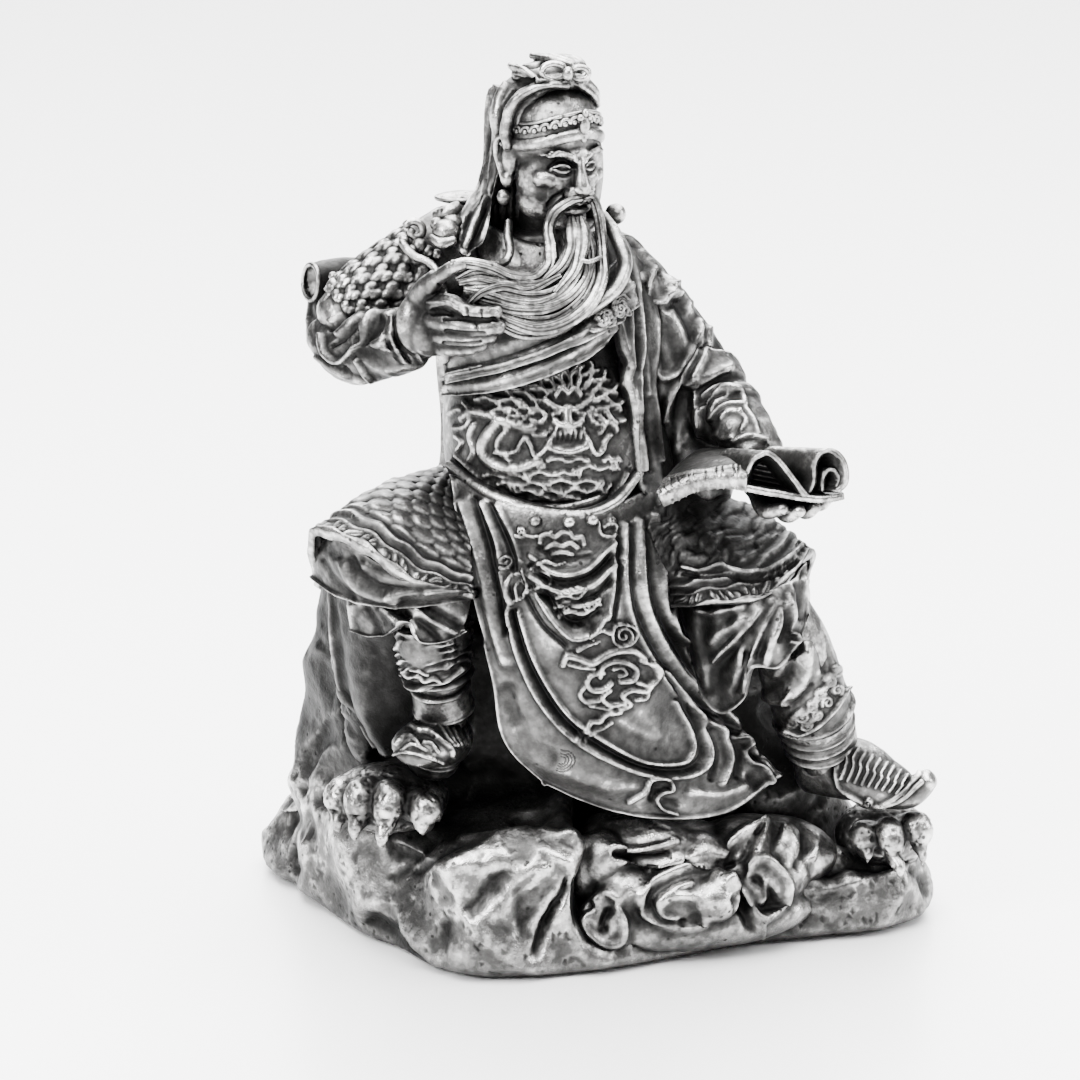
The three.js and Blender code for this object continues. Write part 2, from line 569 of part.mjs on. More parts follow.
// The open book: the thick leaves to the left, a leaf that arches over, and a rolled one.
function addBook() {
  addSheet(
    net([
      [[36, -18, 131.5], [45, -17, 134.5], [55, -16, 134.5]],
      [[31, -28, 130], [41, -30, 133.5], [52, -31, 134]],
      [[27, -38, 127], [37, -42, 130.5], [49, -44, 131]],
    ]),
    8, 5, BOOK_BLOCK,
  );
  addSheet(
    net([
      [[53, -17, 133.5], [56, -16, 135.5], [60, -16, 134.5], [64, -17, 131.5]],
      [[50, -31, 133], [54, -30, 137], [59, -30, 136], [64, -32, 130.5]],
      [[48, -44, 130], [53, -44, 135.5], [58, -44, 133.5], [64, -46, 127.5]],
    ]),
    8, 5, PAGE,
  );
  addLimb([[66, -16, 131.5], [68, -27, 130.5], [70, -37, 129.5]], [[5, 4.4], [5.2, 4.6], [5.4, 4.8]], {
    sides: 12,
    steps: 4,
    bulge: -0.8,
  });
  addSheet(
    net([
      [[46, -16, 129], [58, -16, 128], [70, -17, 127]],
      [[44, -31, 128], [58, -32, 126], [72, -32, 126]],
      [[44, -43, 127], [60, -46, 125.5], [74, -40, 125]],
    ]),
    6, 4, PAGE * 1.6,
  );
  // The hand below the book.
  addHand([58, -27, 124.5], [9, 8, 4], [
    { path: [[52, -30, 124], [54, -38, 121.5], [58, -42, 123]], r: 2.2 },
    { path: [[56, -30, 123], [59, -38, 120.5], [62, -42, 122.5]], r: 2.2 },
    { path: [[60, -29, 123], [63.5, -37, 121], [66, -40, 123]], r: 2.1 },
    { path: [[63, -27, 123.5], [67, -34, 122], [69, -37, 124]], r: 1.9 },
  ], 0.3);
}

// The head is turned to its left, towards the book, and tipped down. Its own directions:
const HEAD_TURN = 0.6;
const HEAD_TIP = 0.12;
const HEAD_CENTRE = [3, -12, 204];
const headEuler = new THREE.Euler(HEAD_TIP, 0, HEAD_TURN, 'ZXY');

// A point given from the middle of the head: to its left, backwards and up, in units.
function head(x, y, z) {
  const p = new THREE.Vector3(x, y, z).applyEuler(headEuler);
  return [HEAD_CENTRE[0] + p.x, HEAD_CENTRE[1] + p.y, HEAD_CENTRE[2] + p.z];
}

function addHead() {
  addLimb([[1, 0, 176], [2, -6, 192]], [[8.5, 8.5], [8, 8]], { steps: 2, up: [0, 1, 0] });
  const inHead = { turn: HEAD_TURN, tip: HEAD_TIP };
  addLump(head(0, 2, 5), [11.6, 13.5, 12.5], { ...inHead, sides: 16, rows: 9 });
  addLump(head(0, -2.5, -5), [9.8, 9.5, 11.5], { ...inHead, sides: 14, rows: 8 });
  // Face: brow, nose, cheeks, lower lip and ears, on even thirds.
  addLimb([head(-7, -9.6, 3.4), head(0, -12.2, 3.8), head(7, -9.6, 3.4)], [[1.4, 1.4], [1.8, 1.6], [1.4, 1.4]], { sides: 6, steps: 6 });
  addLimb([head(0, -11.6, 3), head(0, -13.6, -1), head(0, -13.4, -3)], [[1.3, 1.3], [1.8, 1.8], [2.2, 1.6]], { sides: 7, steps: 4, up: [1, 0, 0] });
  for (const side of [-1, 1]) {
    addLump(head(side * 5.6, -8.2, -2.5), [3.4, 3, 3.4], { ...inHead, sides: 8, rows: 5 });
    addLump(head(side * 11, 2.5, -1), [1.8, 3.2, 5], { ...inHead, sides: 8, rows: 5 });
    addLump(head(side * 11.2, 2, -7.5), [1.9, 1.9, 2.6], { ...inHead, sides: 7, rows: 4 });
    addLump(head(side * 4.2, -10.4, 0.6), [2.3, 1.4, 1.2], { ...inHead, sides: 7, rows: 4 });
    // The moustache falls on both sides of the mouth.
    addLimb([head(side * 0.8, -13, -5.4), head(side * 4.4, -12.4, -6.6), head(side * 6.4, -12.6, -12), head(side * 6.2, -14.5, -19), head(side * 5, -17, -25)], [1.3, 1.7, 1.6, 1.4, 0.9], {
      sides: 6,
      steps: 8,
    });
  }
  addLump(head(0, -12, -7), [2.8, 1.4, 1], { ...inHead, sides: 7, rows: 4 });
}

// The headcloth: a bandeau with a jewel, a hood tied with a bow, and tails that hang behind.
function addHeadcloth() {
  const bandPoint = (angle, z, grow) => head(Math.sin(angle) * (11.9 + grow), 1.5 - Math.cos(angle) * (13.8 + grow), z - 2.2 * Math.abs(Math.sin(angle)));
  const band = [];
  for (let i = 0; i <= 8; i++) band.push(bandPoint(mix(-1.7, 1.7, i / 8), 8.6, -0.2));
  addLimb(band, band.map(() => [1.3, 1.6]), { sides: 6, steps: 16 });
  for (let i = 0; i <= 10; i++) addLump(bandPoint(mix(-1.3, 1.3, i / 10), 11.2, -0.6), [1.3, 1.3, 1.3], { sides: 6, rows: 4 });
  addLump(bandPoint(0, 9.8, 0.5), [2.4, 1.6, 3.4], { turn: HEAD_TURN, tip: HEAD_TIP, sides: 8, rows: 4 });
  // The hood's rolled front edge and its standing back.
  addLimb([head(-11.5, 2, 4), head(-10.5, 0, 13), head(-4, -3, 18.5), head(3, -4, 18.5), head(9, -2, 14.5), head(12, 2, 8)], [[2, 2], [2.2, 2], [2.2, 2], [2.2, 2], [2, 2], [1.6, 1.6]], {
    sides: 7,
    steps: 14,
    up: [0, 1, 0],
  });
  addLump(head(0, 5, 8), [13, 12.5, 12], { turn: HEAD_TURN, tip: HEAD_TIP, sides: 14, rows: 8 });
  addSheet(
    net([
      [[12, -2, 216], [5, 2, 220], [-3, 1, 221], [-9, -3, 218]],
      [[15, 0, 200], [5, 8, 202], [-6, 6, 202], [-12, -1, 202]],
      [[14, 6, 186], [3, 15, 184], [-9, 12, 186], [-17, 0, 187]],
      [[12, 13, 168], [0, 20, 164], [-13, 16, 168], [-20, 8, 178]],
    ]),
    12, 10, CLOTH * 3, (u, v) => 0.9 * Math.cos(u * 6 * Math.PI) * mix(0.5, 1.2, v),
  );
  // The tail that falls in front of the right shoulder, and the ribbon at the neck.
  addLimb([[-6, 4, 219], [-9, 2, 208], [-10.5, 0, 197], [-14, -6, 188], [-20, -13, 181]], [[4, 5], [5.4, 3.4], [5.4, 3], [5, 3.4], [3, 1.6]], { steps: 10, sides: 10, up: [1, 0, 0] });
  addLimb([head(-9, 0, -9), [-6, -15, 182], [-7, -20, 178], [-12, -26, 177]], [1.6, 1.8, 1.6, 1.4], { sides: 6, steps: 8 });
  // The bow, with its knot and two loops, over the crest of the hood.
  addLump(head(-2, 0, 18.5), [8, 6, 3.6], { sides: 10, rows: 5 });
  addLump(head(3, -5, 18.5), [1.8, 1.8, 2.2], { sides: 7, rows: 4 });
  addLimb([head(3, -5, 18.5), head(-1, -8, 19.5), head(-5, -6, 20.5), head(-3, -3, 20.5), head(3, -5, 19)], [1.3, 1.8, 1.8, 1.6, 1.2], { sides: 6, steps: 10 });
  addLimb([head(3, -5, 18.5), head(6, -6.5, 18), head(8.4, -4.5, 19), head(6, -3, 19.6), head(3, -4.5, 19)], [1.2, 1.5, 1.5, 1.4, 1.2], { sides: 6, steps: 10 });
}

// The beard falls from the chin and sweeps across to the right hand, in long grooved locks.
function addBeard() {
  addLimb(
    [[8, -20, 193], [11, -27, 184], [11.5, -34, 177], [7, -39, 171.5], [0, -42, 170.5], [-8, -43, 173], [-15, -43, 177], [-22, -42, 179.5]],
    [[4, 3], [6.8, 3.6], [8.6, 4], [8.8, 4], [8, 3.8], [7.4, 3.4], [6, 3], [3.6, 2]],
    { sides: 24, steps: 24, up: [0, -1, 0], shape: (angle) => 1 + 0.1 * Math.cos(9 * angle) },
  );
  // A lock that hangs free on the far side.
  addLimb([[14, -22, 192], [18, -28, 184], [19, -33, 176], [15, -37, 168], [7, -41, 163.5], [-2, -42, 164]], [1.4, 1.8, 2, 2, 1.6, 1], {
    sides: 6,
    steps: 14,
  });
}

addRockFoot();
addSeat();
addPelt();
addLegs();
addSkirts();
addRobeFront();
addTorso();
addChestCloth();
addBack();
addRightArm();
addRightHand();
addLeftArm();
addBook();
addHead();
addHeadcloth();
addBeard();

// Joins everything into the one casting.
function castTogether(parts) {
  let joined = parts;
  while (joined.length > 1) {
    const next = [];
    for (let i = 0; i < joined.length; i += 2) {
      next.push(i + 1 < joined.length ? joined[i].add(joined[i + 1]) : joined[i]);
    }
    joined = next;
  }
  return joined[0];
}

// The faces of the outer skin: those that can be reached from the face that stands furthest left.
function outerSkin(points, faces) {
  const around = points.map(() => []);
  faces.forEach((face, f) => face.forEach((p) => around[p].push(f)));
  const reached = new Set();
  let lowest = 0;
  points.forEach((p, i) => {
    if (p.x < points[lowest].x) lowest = i;
  });
  const waiting = [...around[lowest]];
  while (waiting.length) {
    const f = waiting.pop();
    if (reached.has(f)) continue;
    reached.add(f);
    for (const p of faces[f]) waiting.push(...around[p]);
  }
  return faces.filter((_, f) => reached.has(f));
}

// Thins the skin to a number of facets: an edge is drawn together into one point where that
// moves the surface least, unless a face would turn over or the skin would be pinched.
function thin(points, faces, wanted) {
  const around = points.map(() => new Set());
  faces.forEach((face, f) => face.forEach((p) => around[p].add(f)));
  const normalOf = (a, b, c) => b.clone().sub(a).cross(c.clone().sub(a));

  // Each point carries the planes of its faces, summed as [xx, xy, xz, xw, yy, yz, yw, zz, zw, ww].
  const planes = points.map(() => new Float64Array(10));
  for (const face of faces) {
    const [a, b, c] = face.map((p) => points[p]);
    const normal = normalOf(a, b, c);
    const area = normal.length();
    if (area === 0) continue;
    const { x, y, z } = normal.divideScalar(area);
    const w = -(x * a.x + y * a.y + z * a.z);
    const terms = [x * x, x * y, x * z, x * w, y * y, y * z, y * w, z * z, z * w, w * w];
    for (const p of face) terms.forEach((term, k) => (planes[p][k] += term * area));
  }
  const cost = (a, b, { x, y, z }) => {
    const q = planes[a].map((term, k) => term + planes[b][k]);
    return (
      q[0] * x * x + q[4] * y * y + q[7] * z * z + q[9] +
      2 * (q[1] * x * y + q[2] * x * z + q[5] * y * z + q[3] * x + q[6] * y + q[8] * z)
    );
  };
  const neighbours = (p) => {
    const found = new Set();
    for (const f of around[p]) for (const q of faces[f]) if (q !== p) found.add(q);
    return found;
  };
  const staysSound = (a, b, place) => {
    const besideA = neighbours(a);
    let shared = 0;
    for (const p of neighbours(b)) if (besideA.has(p)) shared++;
    if (shared !== 2) return false;
    for (const p of [a, b]) {
      for (const f of around[p]) {
        if (faces[f].includes(a) && faces[f].includes(b)) continue;
        const before = normalOf(...faces[f].map((q) => points[q]));
        const after = normalOf(...faces[f].map((q) => (q === p ? place : points[q])));
        const size = after.length();
        if (size < 0.02 || before.dot(after) < 0.35 * before.length() * size) return false;
      }
    }
    return true;
  };

  let count = faces.length;
  for (let limit = 1e-6; count > wanted; limit *= 1.6) {
    const touched = new Set();
    for (const face of faces.slice()) {
      for (let k = 0; face && k < 3 && count > wanted; k++) {
        const a = face[k];
        const b = face[(k + 1) % 3];
        if (a > b || touched.has(a) || touched.has(b) || !around[a].size || !around[b].size) continue;
        const options = [points[a], points[b], points[a].clone().lerp(points[b], 0.5)];
        const costs = options.map((option) => cost(a, b, option));
        const best = costs.indexOf(Math.min(...costs));
        if (costs[best] > limit || !staysSound(a, b, options[best])) continue;
        for (const p of neighbours(a)) touched.add(p);
        for (const p of neighbours(b)) touched.add(p);
        points[a] = options[best].clone();
        planes[a] = planes[a].map((term, i) => term + planes[b][i]);
        for (const f of around[b]) {
          if (faces[f].includes(a)) {
            for (const p of faces[f]) if (p !== b) around[p].delete(f);
            faces[f] = null;
            count--;
          } else {
            faces[f] = faces[f].map((p) => (p === b ? a : p));
            around[a].add(f);
          }
        }
        around[b].clear();
        break;
      }
    }
  }
  return faces.filter((face) => face);
}

function geometryOf(solid) {
  const { vertProperties, triVerts } = solid.getMesh();
  const points = [];
  for (let i = 0; i < vertProperties.length; i += 3) points.push(new THREE.Vector3().fromArray(vertProperties, i));
  const faces = [];
  for (let i = 0; i < triVerts.length; i += 3) faces.push([...triVerts.slice(i, i + 3)]);
  const kept = thin(points, outerSkin(points, faces), FACETS);
  const loose = new THREE.BufferGeometry().setFromPoints(kept.flat().map((p) => points[p]));
  const geometry = mergeVertices(loose, 1e-5);
  geometry.computeVertexNormals();
  return geometry;
}

const antiquedMetal = new THREE.MeshStandardMaterial({ color: 0x9a9a98, roughness: 0.36, metalness: 1 });
const statue = new THREE.Mesh(geometryOf(castTogether(solids)), antiquedMetal);
statue.name = 'statue';

const group = new THREE.Group();
group.add(statue);
export default group;
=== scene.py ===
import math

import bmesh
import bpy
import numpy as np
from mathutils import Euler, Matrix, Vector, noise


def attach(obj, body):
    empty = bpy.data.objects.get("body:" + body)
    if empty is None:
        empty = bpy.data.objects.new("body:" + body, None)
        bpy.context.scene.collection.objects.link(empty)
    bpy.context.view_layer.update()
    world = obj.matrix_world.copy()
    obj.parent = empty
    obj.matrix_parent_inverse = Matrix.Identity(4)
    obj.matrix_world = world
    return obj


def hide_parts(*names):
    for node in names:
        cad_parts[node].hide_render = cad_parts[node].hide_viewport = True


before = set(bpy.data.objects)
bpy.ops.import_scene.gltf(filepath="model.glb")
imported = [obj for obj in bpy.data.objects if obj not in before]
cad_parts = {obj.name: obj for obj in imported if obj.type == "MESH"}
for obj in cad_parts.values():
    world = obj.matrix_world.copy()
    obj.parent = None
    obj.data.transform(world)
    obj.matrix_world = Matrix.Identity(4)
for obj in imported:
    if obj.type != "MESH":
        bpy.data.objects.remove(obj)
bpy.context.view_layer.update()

# %% [markdown]
# # A seated warrior, cast in pewter
# The real object is one hollow casting: a bearded warrior in armour and robe, sitting on a rock
# under an animal's pelt. A sculptor models it in wax, so every fold and lock is soft-edged, and the
# caster darkens the metal and rubs the high points bright again. The frame holds the plain solid.
# This script dresses it region by region with fine meshes that keep the solid's form.

MM = 0.001

# %% [markdown]
# ## The camera
# The photograph was taken with a long lens from a little above. The camera looks at a point in the
# figure's lap from a metre away and fifteen degrees up.

# %% Set up the camera
LAP = Vector((0, 0, 0.104))
DISTANCE = 1.0
LOOK_DOWN = math.radians(15)
camera = bpy.data.objects.new("camera", bpy.data.cameras.new("camera"))
bpy.context.scene.collection.objects.link(camera)
camera.data.lens = 133.3
camera.data.sensor_width = 36
camera.location = LAP + DISTANCE * Vector((0, -math.cos(LOOK_DOWN), math.sin(LOOK_DOWN)))
camera.rotation_euler = (LAP - camera.location).to_track_quat("-Z", "Y").to_euler()
bpy.context.scene.camera = camera
print("camera at", [round(value, 3) for value in camera.location])

# %% [markdown]
# ## Smooth lines and surfaces
# Wax is drawn out in smooth curves. A line here is a spline through a few points, and a surface is
# a net of such lines. Both take whole arrays of places at once, because each piece has tens of
# thousands of points.

# %% Splines and nets
def blend4(a, b, c, d, f):
    """A point between b and c on a smooth curve through a, b, c and d."""
    return 0.5 * (
        2 * b + (c - a) * f + (2 * a - 5 * b + 4 * c - d) * f**2 + (3 * b - a - 3 * c + d) * f**3
    )


def between(a, b, t):
    return tuple(p + (q - p) * t for p, q in zip(a, b))


def curve(points, t):
    """Places along a smooth line through the points, for each t from 0 to 1."""
    p = np.asarray(points, float)
    p = p.reshape(len(p), -1)
    spans = len(p) - 1
    reach = np.clip(t, 0, 1) * spans
    i = np.minimum(reach.astype(int), spans - 1)
    padded = np.vstack([2 * p[0] - p[1], p, 2 * p[-1] - p[-2]])
    return blend4(padded[i], padded[i + 1], padded[i + 2], padded[i + 3], (reach - i)[:, None])


def net(rows):
    """A smooth surface through rows of points, as a function of u across and v down."""

    def surface(u, v):
        across = [curve(row, u) for row in rows]
        lines = np.stack([2 * across[0] - across[1], *across, 2 * across[-1] - across[-2]])
        reach = np.clip(v, 0, 1) * (len(rows) - 1)
        i = np.minimum(reach.astype(int), len(rows) - 2)
        here = np.arange(len(u))
        return blend4(*(lines[i + k, here] for k in range(4)), (reach - i)[:, None])

    return surface


def unit_rows(vectors):
    return vectors / np.maximum(np.linalg.norm(vectors, axis=1, keepdims=True), 1e-9)


def outward(surface, u, v, step=0.004):
    """The surface's normals, on the side from which v runs down and u runs to the right."""
    across = surface(np.minimum(u + step, 1), v) - surface(np.maximum(u - step, 0), v)
    down = surface(u, np.minimum(v + step, 1)) - surface(u, np.maximum(v - step, 0))
    return unit_rows(np.cross(down, across))


def ridge(t, centre, width):
    return np.exp(-(((t - centre) / width) ** 2))


def ramp(t, low, high):
    """0 below low, 1 above high, and a soft step between them."""
    s = np.clip((t - low) / (high - low), 0, 1)
    return s * s * (3 - 2 * s)


bend = curve([(0, 0), (1, 1), (2, 0)], np.array([0.25, 0.75]))
print("a smooth line through three points passes", bend.round(2).tolist())

# %% [markdown]
# ## Ornament drawn as strokes
# The carver's ornament is made of raised strokes: tendrils, flames, scales and clouds. Each stroke
# is a line with a width and a height, and the surface under it swells to a rounded cord. Strokes
# are laid out on the plane that faces the camera, in quarter millimetres, because that is how a
# carver sees a front relief. The same tool with a negative height cuts grooves.

# %% Strokes on the front plane
MIDDLE = 540  # the plane's middle, in quarter millimetres
EYE_LEVEL = 104  # the height in millimetres that the camera looks at
COS_DOWN, SIN_DOWN, TAN_DOWN = 0.966, 0.2588, 0.268  # of the camera's tilt


def front(spots):
    """Where points in millimetres fall on the front plane, in quarter millimetres."""
    x, y, z = spots.T
    near = 1 - (-COS_DOWN * y + 0.26 * (z - EYE_LEVEL)) / 1000
    rise = (z - EYE_LEVEL) * COS_DOWN + y * SIN_DOWN
    return MIDDLE + 4 * x / near, MIDDLE - 4 * rise / near


def spot(across, down, forward):
    """A point in millimetres, from its place on the front plane and how far forward it stands."""
    z = float(EYE_LEVEL)
    quarter = 0.2588  # a quarter of a millimetre on the plane, measured upright
    for _ in range(4):
        near = 1 - (COS_DOWN * forward + 0.26 * (z - EYE_LEVEL)) / 1000
        z = EYE_LEVEL + (MIDDLE - down) * quarter * near + TAN_DOWN * forward
    return ((across - MIDDLE) * 0.25 * near, -forward, z)


def stroke(points, width, height, smooth=4):
    """A stroke through the points. width may be one value or one for each point."""
    p = np.asarray(points, float)
    t = np.linspace(0, 1, (len(p) - 1) * smooth + 1)
    w = np.broadcast_to(
        np.asarray(width, float).reshape(-1), (len(p),),
    ) if np.size(width) == 1 else width
    return curve(p, t), np.maximum(curve(np.asarray(w, float), t)[:, 0], 0.3), height


def line(width, height, *places):
    """A stroke through places that are given as x, y, x, y and so on."""
    return stroke(np.reshape(places, (-1, 2)), width, height)


def raised(x, y, strokes):
    """The height that the strokes give each place: the highest stroke there wins."""
    high = np.zeros(len(x))
    low = np.zeros(len(x))
    for points, widths, height in strokes:
        most = widths.max()
        near = np.flatnonzero(
            (x > points[:, 0].min() - most) & (x < points[:, 0].max() + most)
            & (y > points[:, 1].min() - most) & (y < points[:, 1].max() + most)
        )
        if not len(near):
            continue
        px, py, best = x[near], y[near], np.zeros(len(near))
        for a, b, wa, wb in zip(points, points[1:], widths, widths[1:]):
            run = b - a
            t = np.clip(((px - a[0]) * run[0] + (py - a[1]) * run[1]) / max(run @ run, 1e-9), 0, 1)
            w = wa + (wb - wa) * t
            gap = ((px - a[0] - t * run[0]) ** 2 + (py - a[1] - t * run[1]) ** 2) / w**2
            best = np.maximum(best, np.clip(1 - gap, 0, 1) ** 0.8 * np.sqrt(w / most))
        if height > 0:
            high[near] = np.maximum(high[near], height * best)
        else:
            low[near] = np.minimum(low[near], height * best)
    return high + low


def swell(x, y, lines):
    """Soft folds: a line with a width and a height gives a bell-shaped ridge or hollow."""
    total = np.zeros(len(x))
    for points, widths, height in lines:
        gap = np.full(len(x), 1e9)
        for a, b in zip(points, points[1:]):
            run = b - a
            t = np.clip(((x - a[0]) * run[0] + (y - a[1]) * run[1]) / max(run @ run, 1e-9), 0, 1)
            gap = np.minimum(gap, (x - a[0] - t * run[0]) ** 2 + (y - a[1] - t * run[1]) ** 2)
        total += height * np.exp(-gap / widths.mean() ** 2)
    return total


print(
    "the plane's middle, 30 mm forward, is at", [round(value, 1) for value in spot(MIDDLE, MIDDLE, 30)],
)

# %% [markdown]
# ## Pieces
# Cloth is a net with a front and a back, closed round its edges. A limb, lock or cord is a tube
# along a line, with an oval section and rounded ends. Both start from a grid whose points are moved
# into place, and their relief pushes those points outwards. Extruding faces by hand would give the
# same shapes, but a grid has rows and columns, so a pattern can follow the cloth or the limb.

# %% Cloth and limbs
def from_grid(name, columns, rows, place):
    """A closed piece from a grid: place() gives each (column, row) its spot in millimetres."""
    bm = bmesh.new()
    bmesh.ops.create_grid(bm, x_segments=columns, y_segments=rows, size=0.5)
    flat = np.array([v.co[:] for v in bm.verts])
    column = np.rint((flat[:, 0] + 0.5) * columns)
    row = np.rint((0.5 - flat[:, 1]) * rows)
    for vert, spot in zip(bm.verts, place(column, row) * MM):
        vert.co = spot
    bmesh.ops.remove_doubles(bm, verts=bm.verts, dist=2e-6)
    bmesh.ops.recalc_face_normals(bm, faces=bm.faces)
    return to_object(name, bm)


def to_object(name, bm):
    mesh = bpy.data.meshes.new(name)
    bm.to_mesh(mesh)
    bm.free()
    mesh.shade_smooth()
    piece = bpy.data.objects.new(name, mesh)
    bpy.context.scene.collection.objects.link(piece)
    return piece


def cloth(name, rows, across, down, thick, relief=None):
    """Cloth through a net of points: a front with relief, a back behind it and rounded rims."""
    surface = net(rows)

    def place(column, row):
        back = (column > across) & (column < 2 * across + 2)
        u = np.where(
            back, 1 - (column - across - 1) / across, np.where(column > across, 0, column / across),
        )
        v = np.clip((row - 1) / down, 0, 1)
        rim = (row == 0) | (row == down + 2)
        out = outward(surface, u, v)
        spots = surface(u, v)
        high = relief(u, v, spots) if relief else np.zeros(len(u))
        low = 0.9 * np.minimum(high, 0.8 * thick) - thick
        lift = np.where(rim, (high + low) / 2, np.where(back, low, high))
        return spots + out * lift[:, None]

    return from_grid(name, 2 * across + 2, down + 2, place)


def strip(name, top, bottom, bow, thick, relief, across=150, down=34):
    """A strip of cloth between two lines on the front plane, bowed forward between them."""
    top, bottom = [spot(*p) for p in top], [spot(*p) for p in bottom]
    middle = [between(p, q, 0.5) for p, q in zip(top, bottom)]
    middle = [(x, y - bow, z) for x, y, z in middle]
    return cloth(name, [top, middle, bottom], across, down, thick, relief)


def drape(name, left, right, bow, thick, relief, across=60, down=130):
    """Hanging cloth between two lines down the front plane, bowed forward between them."""
    rows = []
    for p, q in zip(left, right):
        a, b = spot(*p), spot(*q)
        rows.append(
            [
                a, tuple(np.add(between(a, b, 0.35), (0, -bow, 0))),
                tuple(np.add(between(a, b, 0.7), (0, -bow, 0))), b,
            ]
        )
    return cloth(name, rows, across, down, thick, relief)


def limb(name, path, radii, around, along, up=(0, 0, 1), relief=None, bulge=0.6):
    """A tube along a path. Each radius is one value, or a half width and a half depth."""
    path = np.asarray(path, float)
    radii = np.array([r if np.ndim(r) else (r, r) for r in radii], float)
    cap = min(0.12, 6 / along)
    up = np.asarray(up, float)

    def tube(u, v):
        t = np.clip((v - cap) / (1 - 2 * cap), 0, 1)
        end = np.clip((cap - v) / cap, 0, 1) + np.clip((v - 1 + cap) / cap, 0, 1)
        forward = unit_rows(curve(path, np.minimum(t + 0.01, 1)) - curve(path, np.maximum(t - 0.01, 0)))
        side = unit_rows(np.cross(up, forward))
        out = np.cross(forward, side)
        half = curve(radii, t) * np.cos(end * math.pi / 2)[:, None]
        push = np.where(v < 0.5, -1, 1) * np.sin(end * math.pi / 2) * curve(radii, t)[:, 1] * bulge
        angle = 2 * math.pi * u
        return (
            curve(path, t) + forward * push[:, None]
            + side * (np.cos(angle) * half[:, 0])[:, None] + out * (np.sin(angle) * half[:, 1])[:, None]
        )

    def place(column, row):
        u, v = (column % around) / around, row / along
        spots = tube(u, v)
        if relief is None:
            return spots
        turn = tube((u + 0.004) % 1, v) - tube((u - 0.004) % 1, v)
        run = tube(u, np.minimum(v + 0.004, 1)) - tube(u, np.maximum(v - 0.004, 0))
        fade = ramp(np.minimum(v, 1 - v), 0, 0.6 * cap)
        return (
            spots
            + unit_rows(np.cross(turn, run))
            * (relief(u, (v - cap) / (1 - 2 * cap), spots) * fade)[:, None]
        )

    return from_grid(name, around, along, place)


def lump(name, centre, half, turn=0.0, tip=0.0, fineness=3):
    """A rounded lump of wax, tipped about X and then turned about Z."""
    bm = bmesh.new()
    bmesh.ops.create_icosphere(bm, subdivisions=fineness, radius=1)
    bmesh.ops.scale(bm, vec=Vector(half) * MM, verts=bm.verts)
    bmesh.ops.transform(bm, matrix=Euler((tip, 0, turn), "XYZ").to_matrix().to_4x4(), verts=bm.verts)
    bmesh.ops.translate(bm, vec=Vector(centre) * MM, verts=bm.verts)
    return to_object(name, bm)


def join(name, pieces):
    """Several pieces as one object."""
    bm = bmesh.new()
    for piece in pieces:
        bm.from_mesh(piece.data)
        bpy.data.objects.remove(piece)
    return to_object(name, bm)


sample = lump("sample", (0, 0, 0), (1, 1, 1))
print("a lump has", len(sample.data.vertices), "points")
bpy.data.objects.remove(sample)

# %% [markdown]
# Where wax is pressed together, its lumps run into each other. A voxel remesh melts a group of
# pieces into one skin, a few rounds of smoothing take the stair steps off, and then sculpting
# pushes the points along their normals. A boolean union would leave hard seams between the lumps.

# %% Melting pieces together and sculpting the result
def melt(name, pieces, voxel, rounds=4):
    """Several pieces as one skin, from voxels of the given size in millimetres."""
    piece = join(name, pieces)
    remesh = piece.modifiers.new("melt", "REMESH")
    remesh.mode = "VOXEL"
    remesh.voxel_size = voxel * MM
    soften = piece.modifiers.new("soften", "SMOOTH")
    soften.iterations = rounds
    soften.factor = 0.5
    apply_modifiers(piece)
    return piece


def apply_modifiers(piece):
    depsgraph = bpy.context.evaluated_depsgraph_get()
    made = bpy.data.meshes.new_from_object(piece.evaluated_get(depsgraph))
    old = piece.data
    piece.modifiers.clear()
    piece.data = made
    bpy.data.meshes.remove(old)
    piece.data.name = piece.name
    piece.data.shade_smooth()


def points_of(piece):
    """The piece's points and normals as arrays, the points in millimetres."""
    count = len(piece.data.vertices)
    spots, normals = np.empty(count * 3), np.empty(count * 3)
    piece.data.vertices.foreach_get("co", spots)
    piece.data.vertices.foreach_get("normal", normals)
    return spots.reshape(-1, 3) / MM, normals.reshape(-1, 3)


def sculpt(piece, push):
    """Moves each point along its normal by push(points, normals), in millimetres."""
    spots, normals = points_of(piece)
    moved = spots + normals * push(spots, normals)[:, None]
    moved[:, 2] = np.maximum(moved[:, 2], 0)
    piece.data.vertices.foreach_set("co", (moved * MM).ravel())
    piece.data.update()


FALLOFF, LACUNARITY = 0.8, 2.1  # how the octaves of noise shrink in height and in size


def grain(spots, size, octaves=3):
    """Soft noise from -1 to 1 with lumps of about the given size in millimetres."""
    return np.array([noise.fractal(Vector(p), FALLOFF, LACUNARITY, octaves) for p in spots / size])


print("grain at one place:", grain(np.ones((1, 3)), 7.0).round(3).tolist())


# %% [markdown]
# ## The finish
# Aged pewter is dipped in a blackening bath and then rubbed. Hollows stay near black, flat metal is
# a mid grey, and edges and high points come out bright. The rubbing is worked out from the mesh:
# a point that stands proud of its smoothed surroundings is high. It is kept with each piece as an
# attribute, at three scales mixed together, so it shows from every side and under any light. Each
# piece's lift, which brightens or darkens it, is added to the same attribute; on the rock the lift is
# painted shade, darker where the rock lies behind and under the figure.

# %% Mark the rubbed high points and the painted shade
RUB_SCALES = ((0.7, 7.0), (1.8, 2.4), (4.5, 0.7))  # reach in millimetres, and weight
MOST_ROUNDS = 260


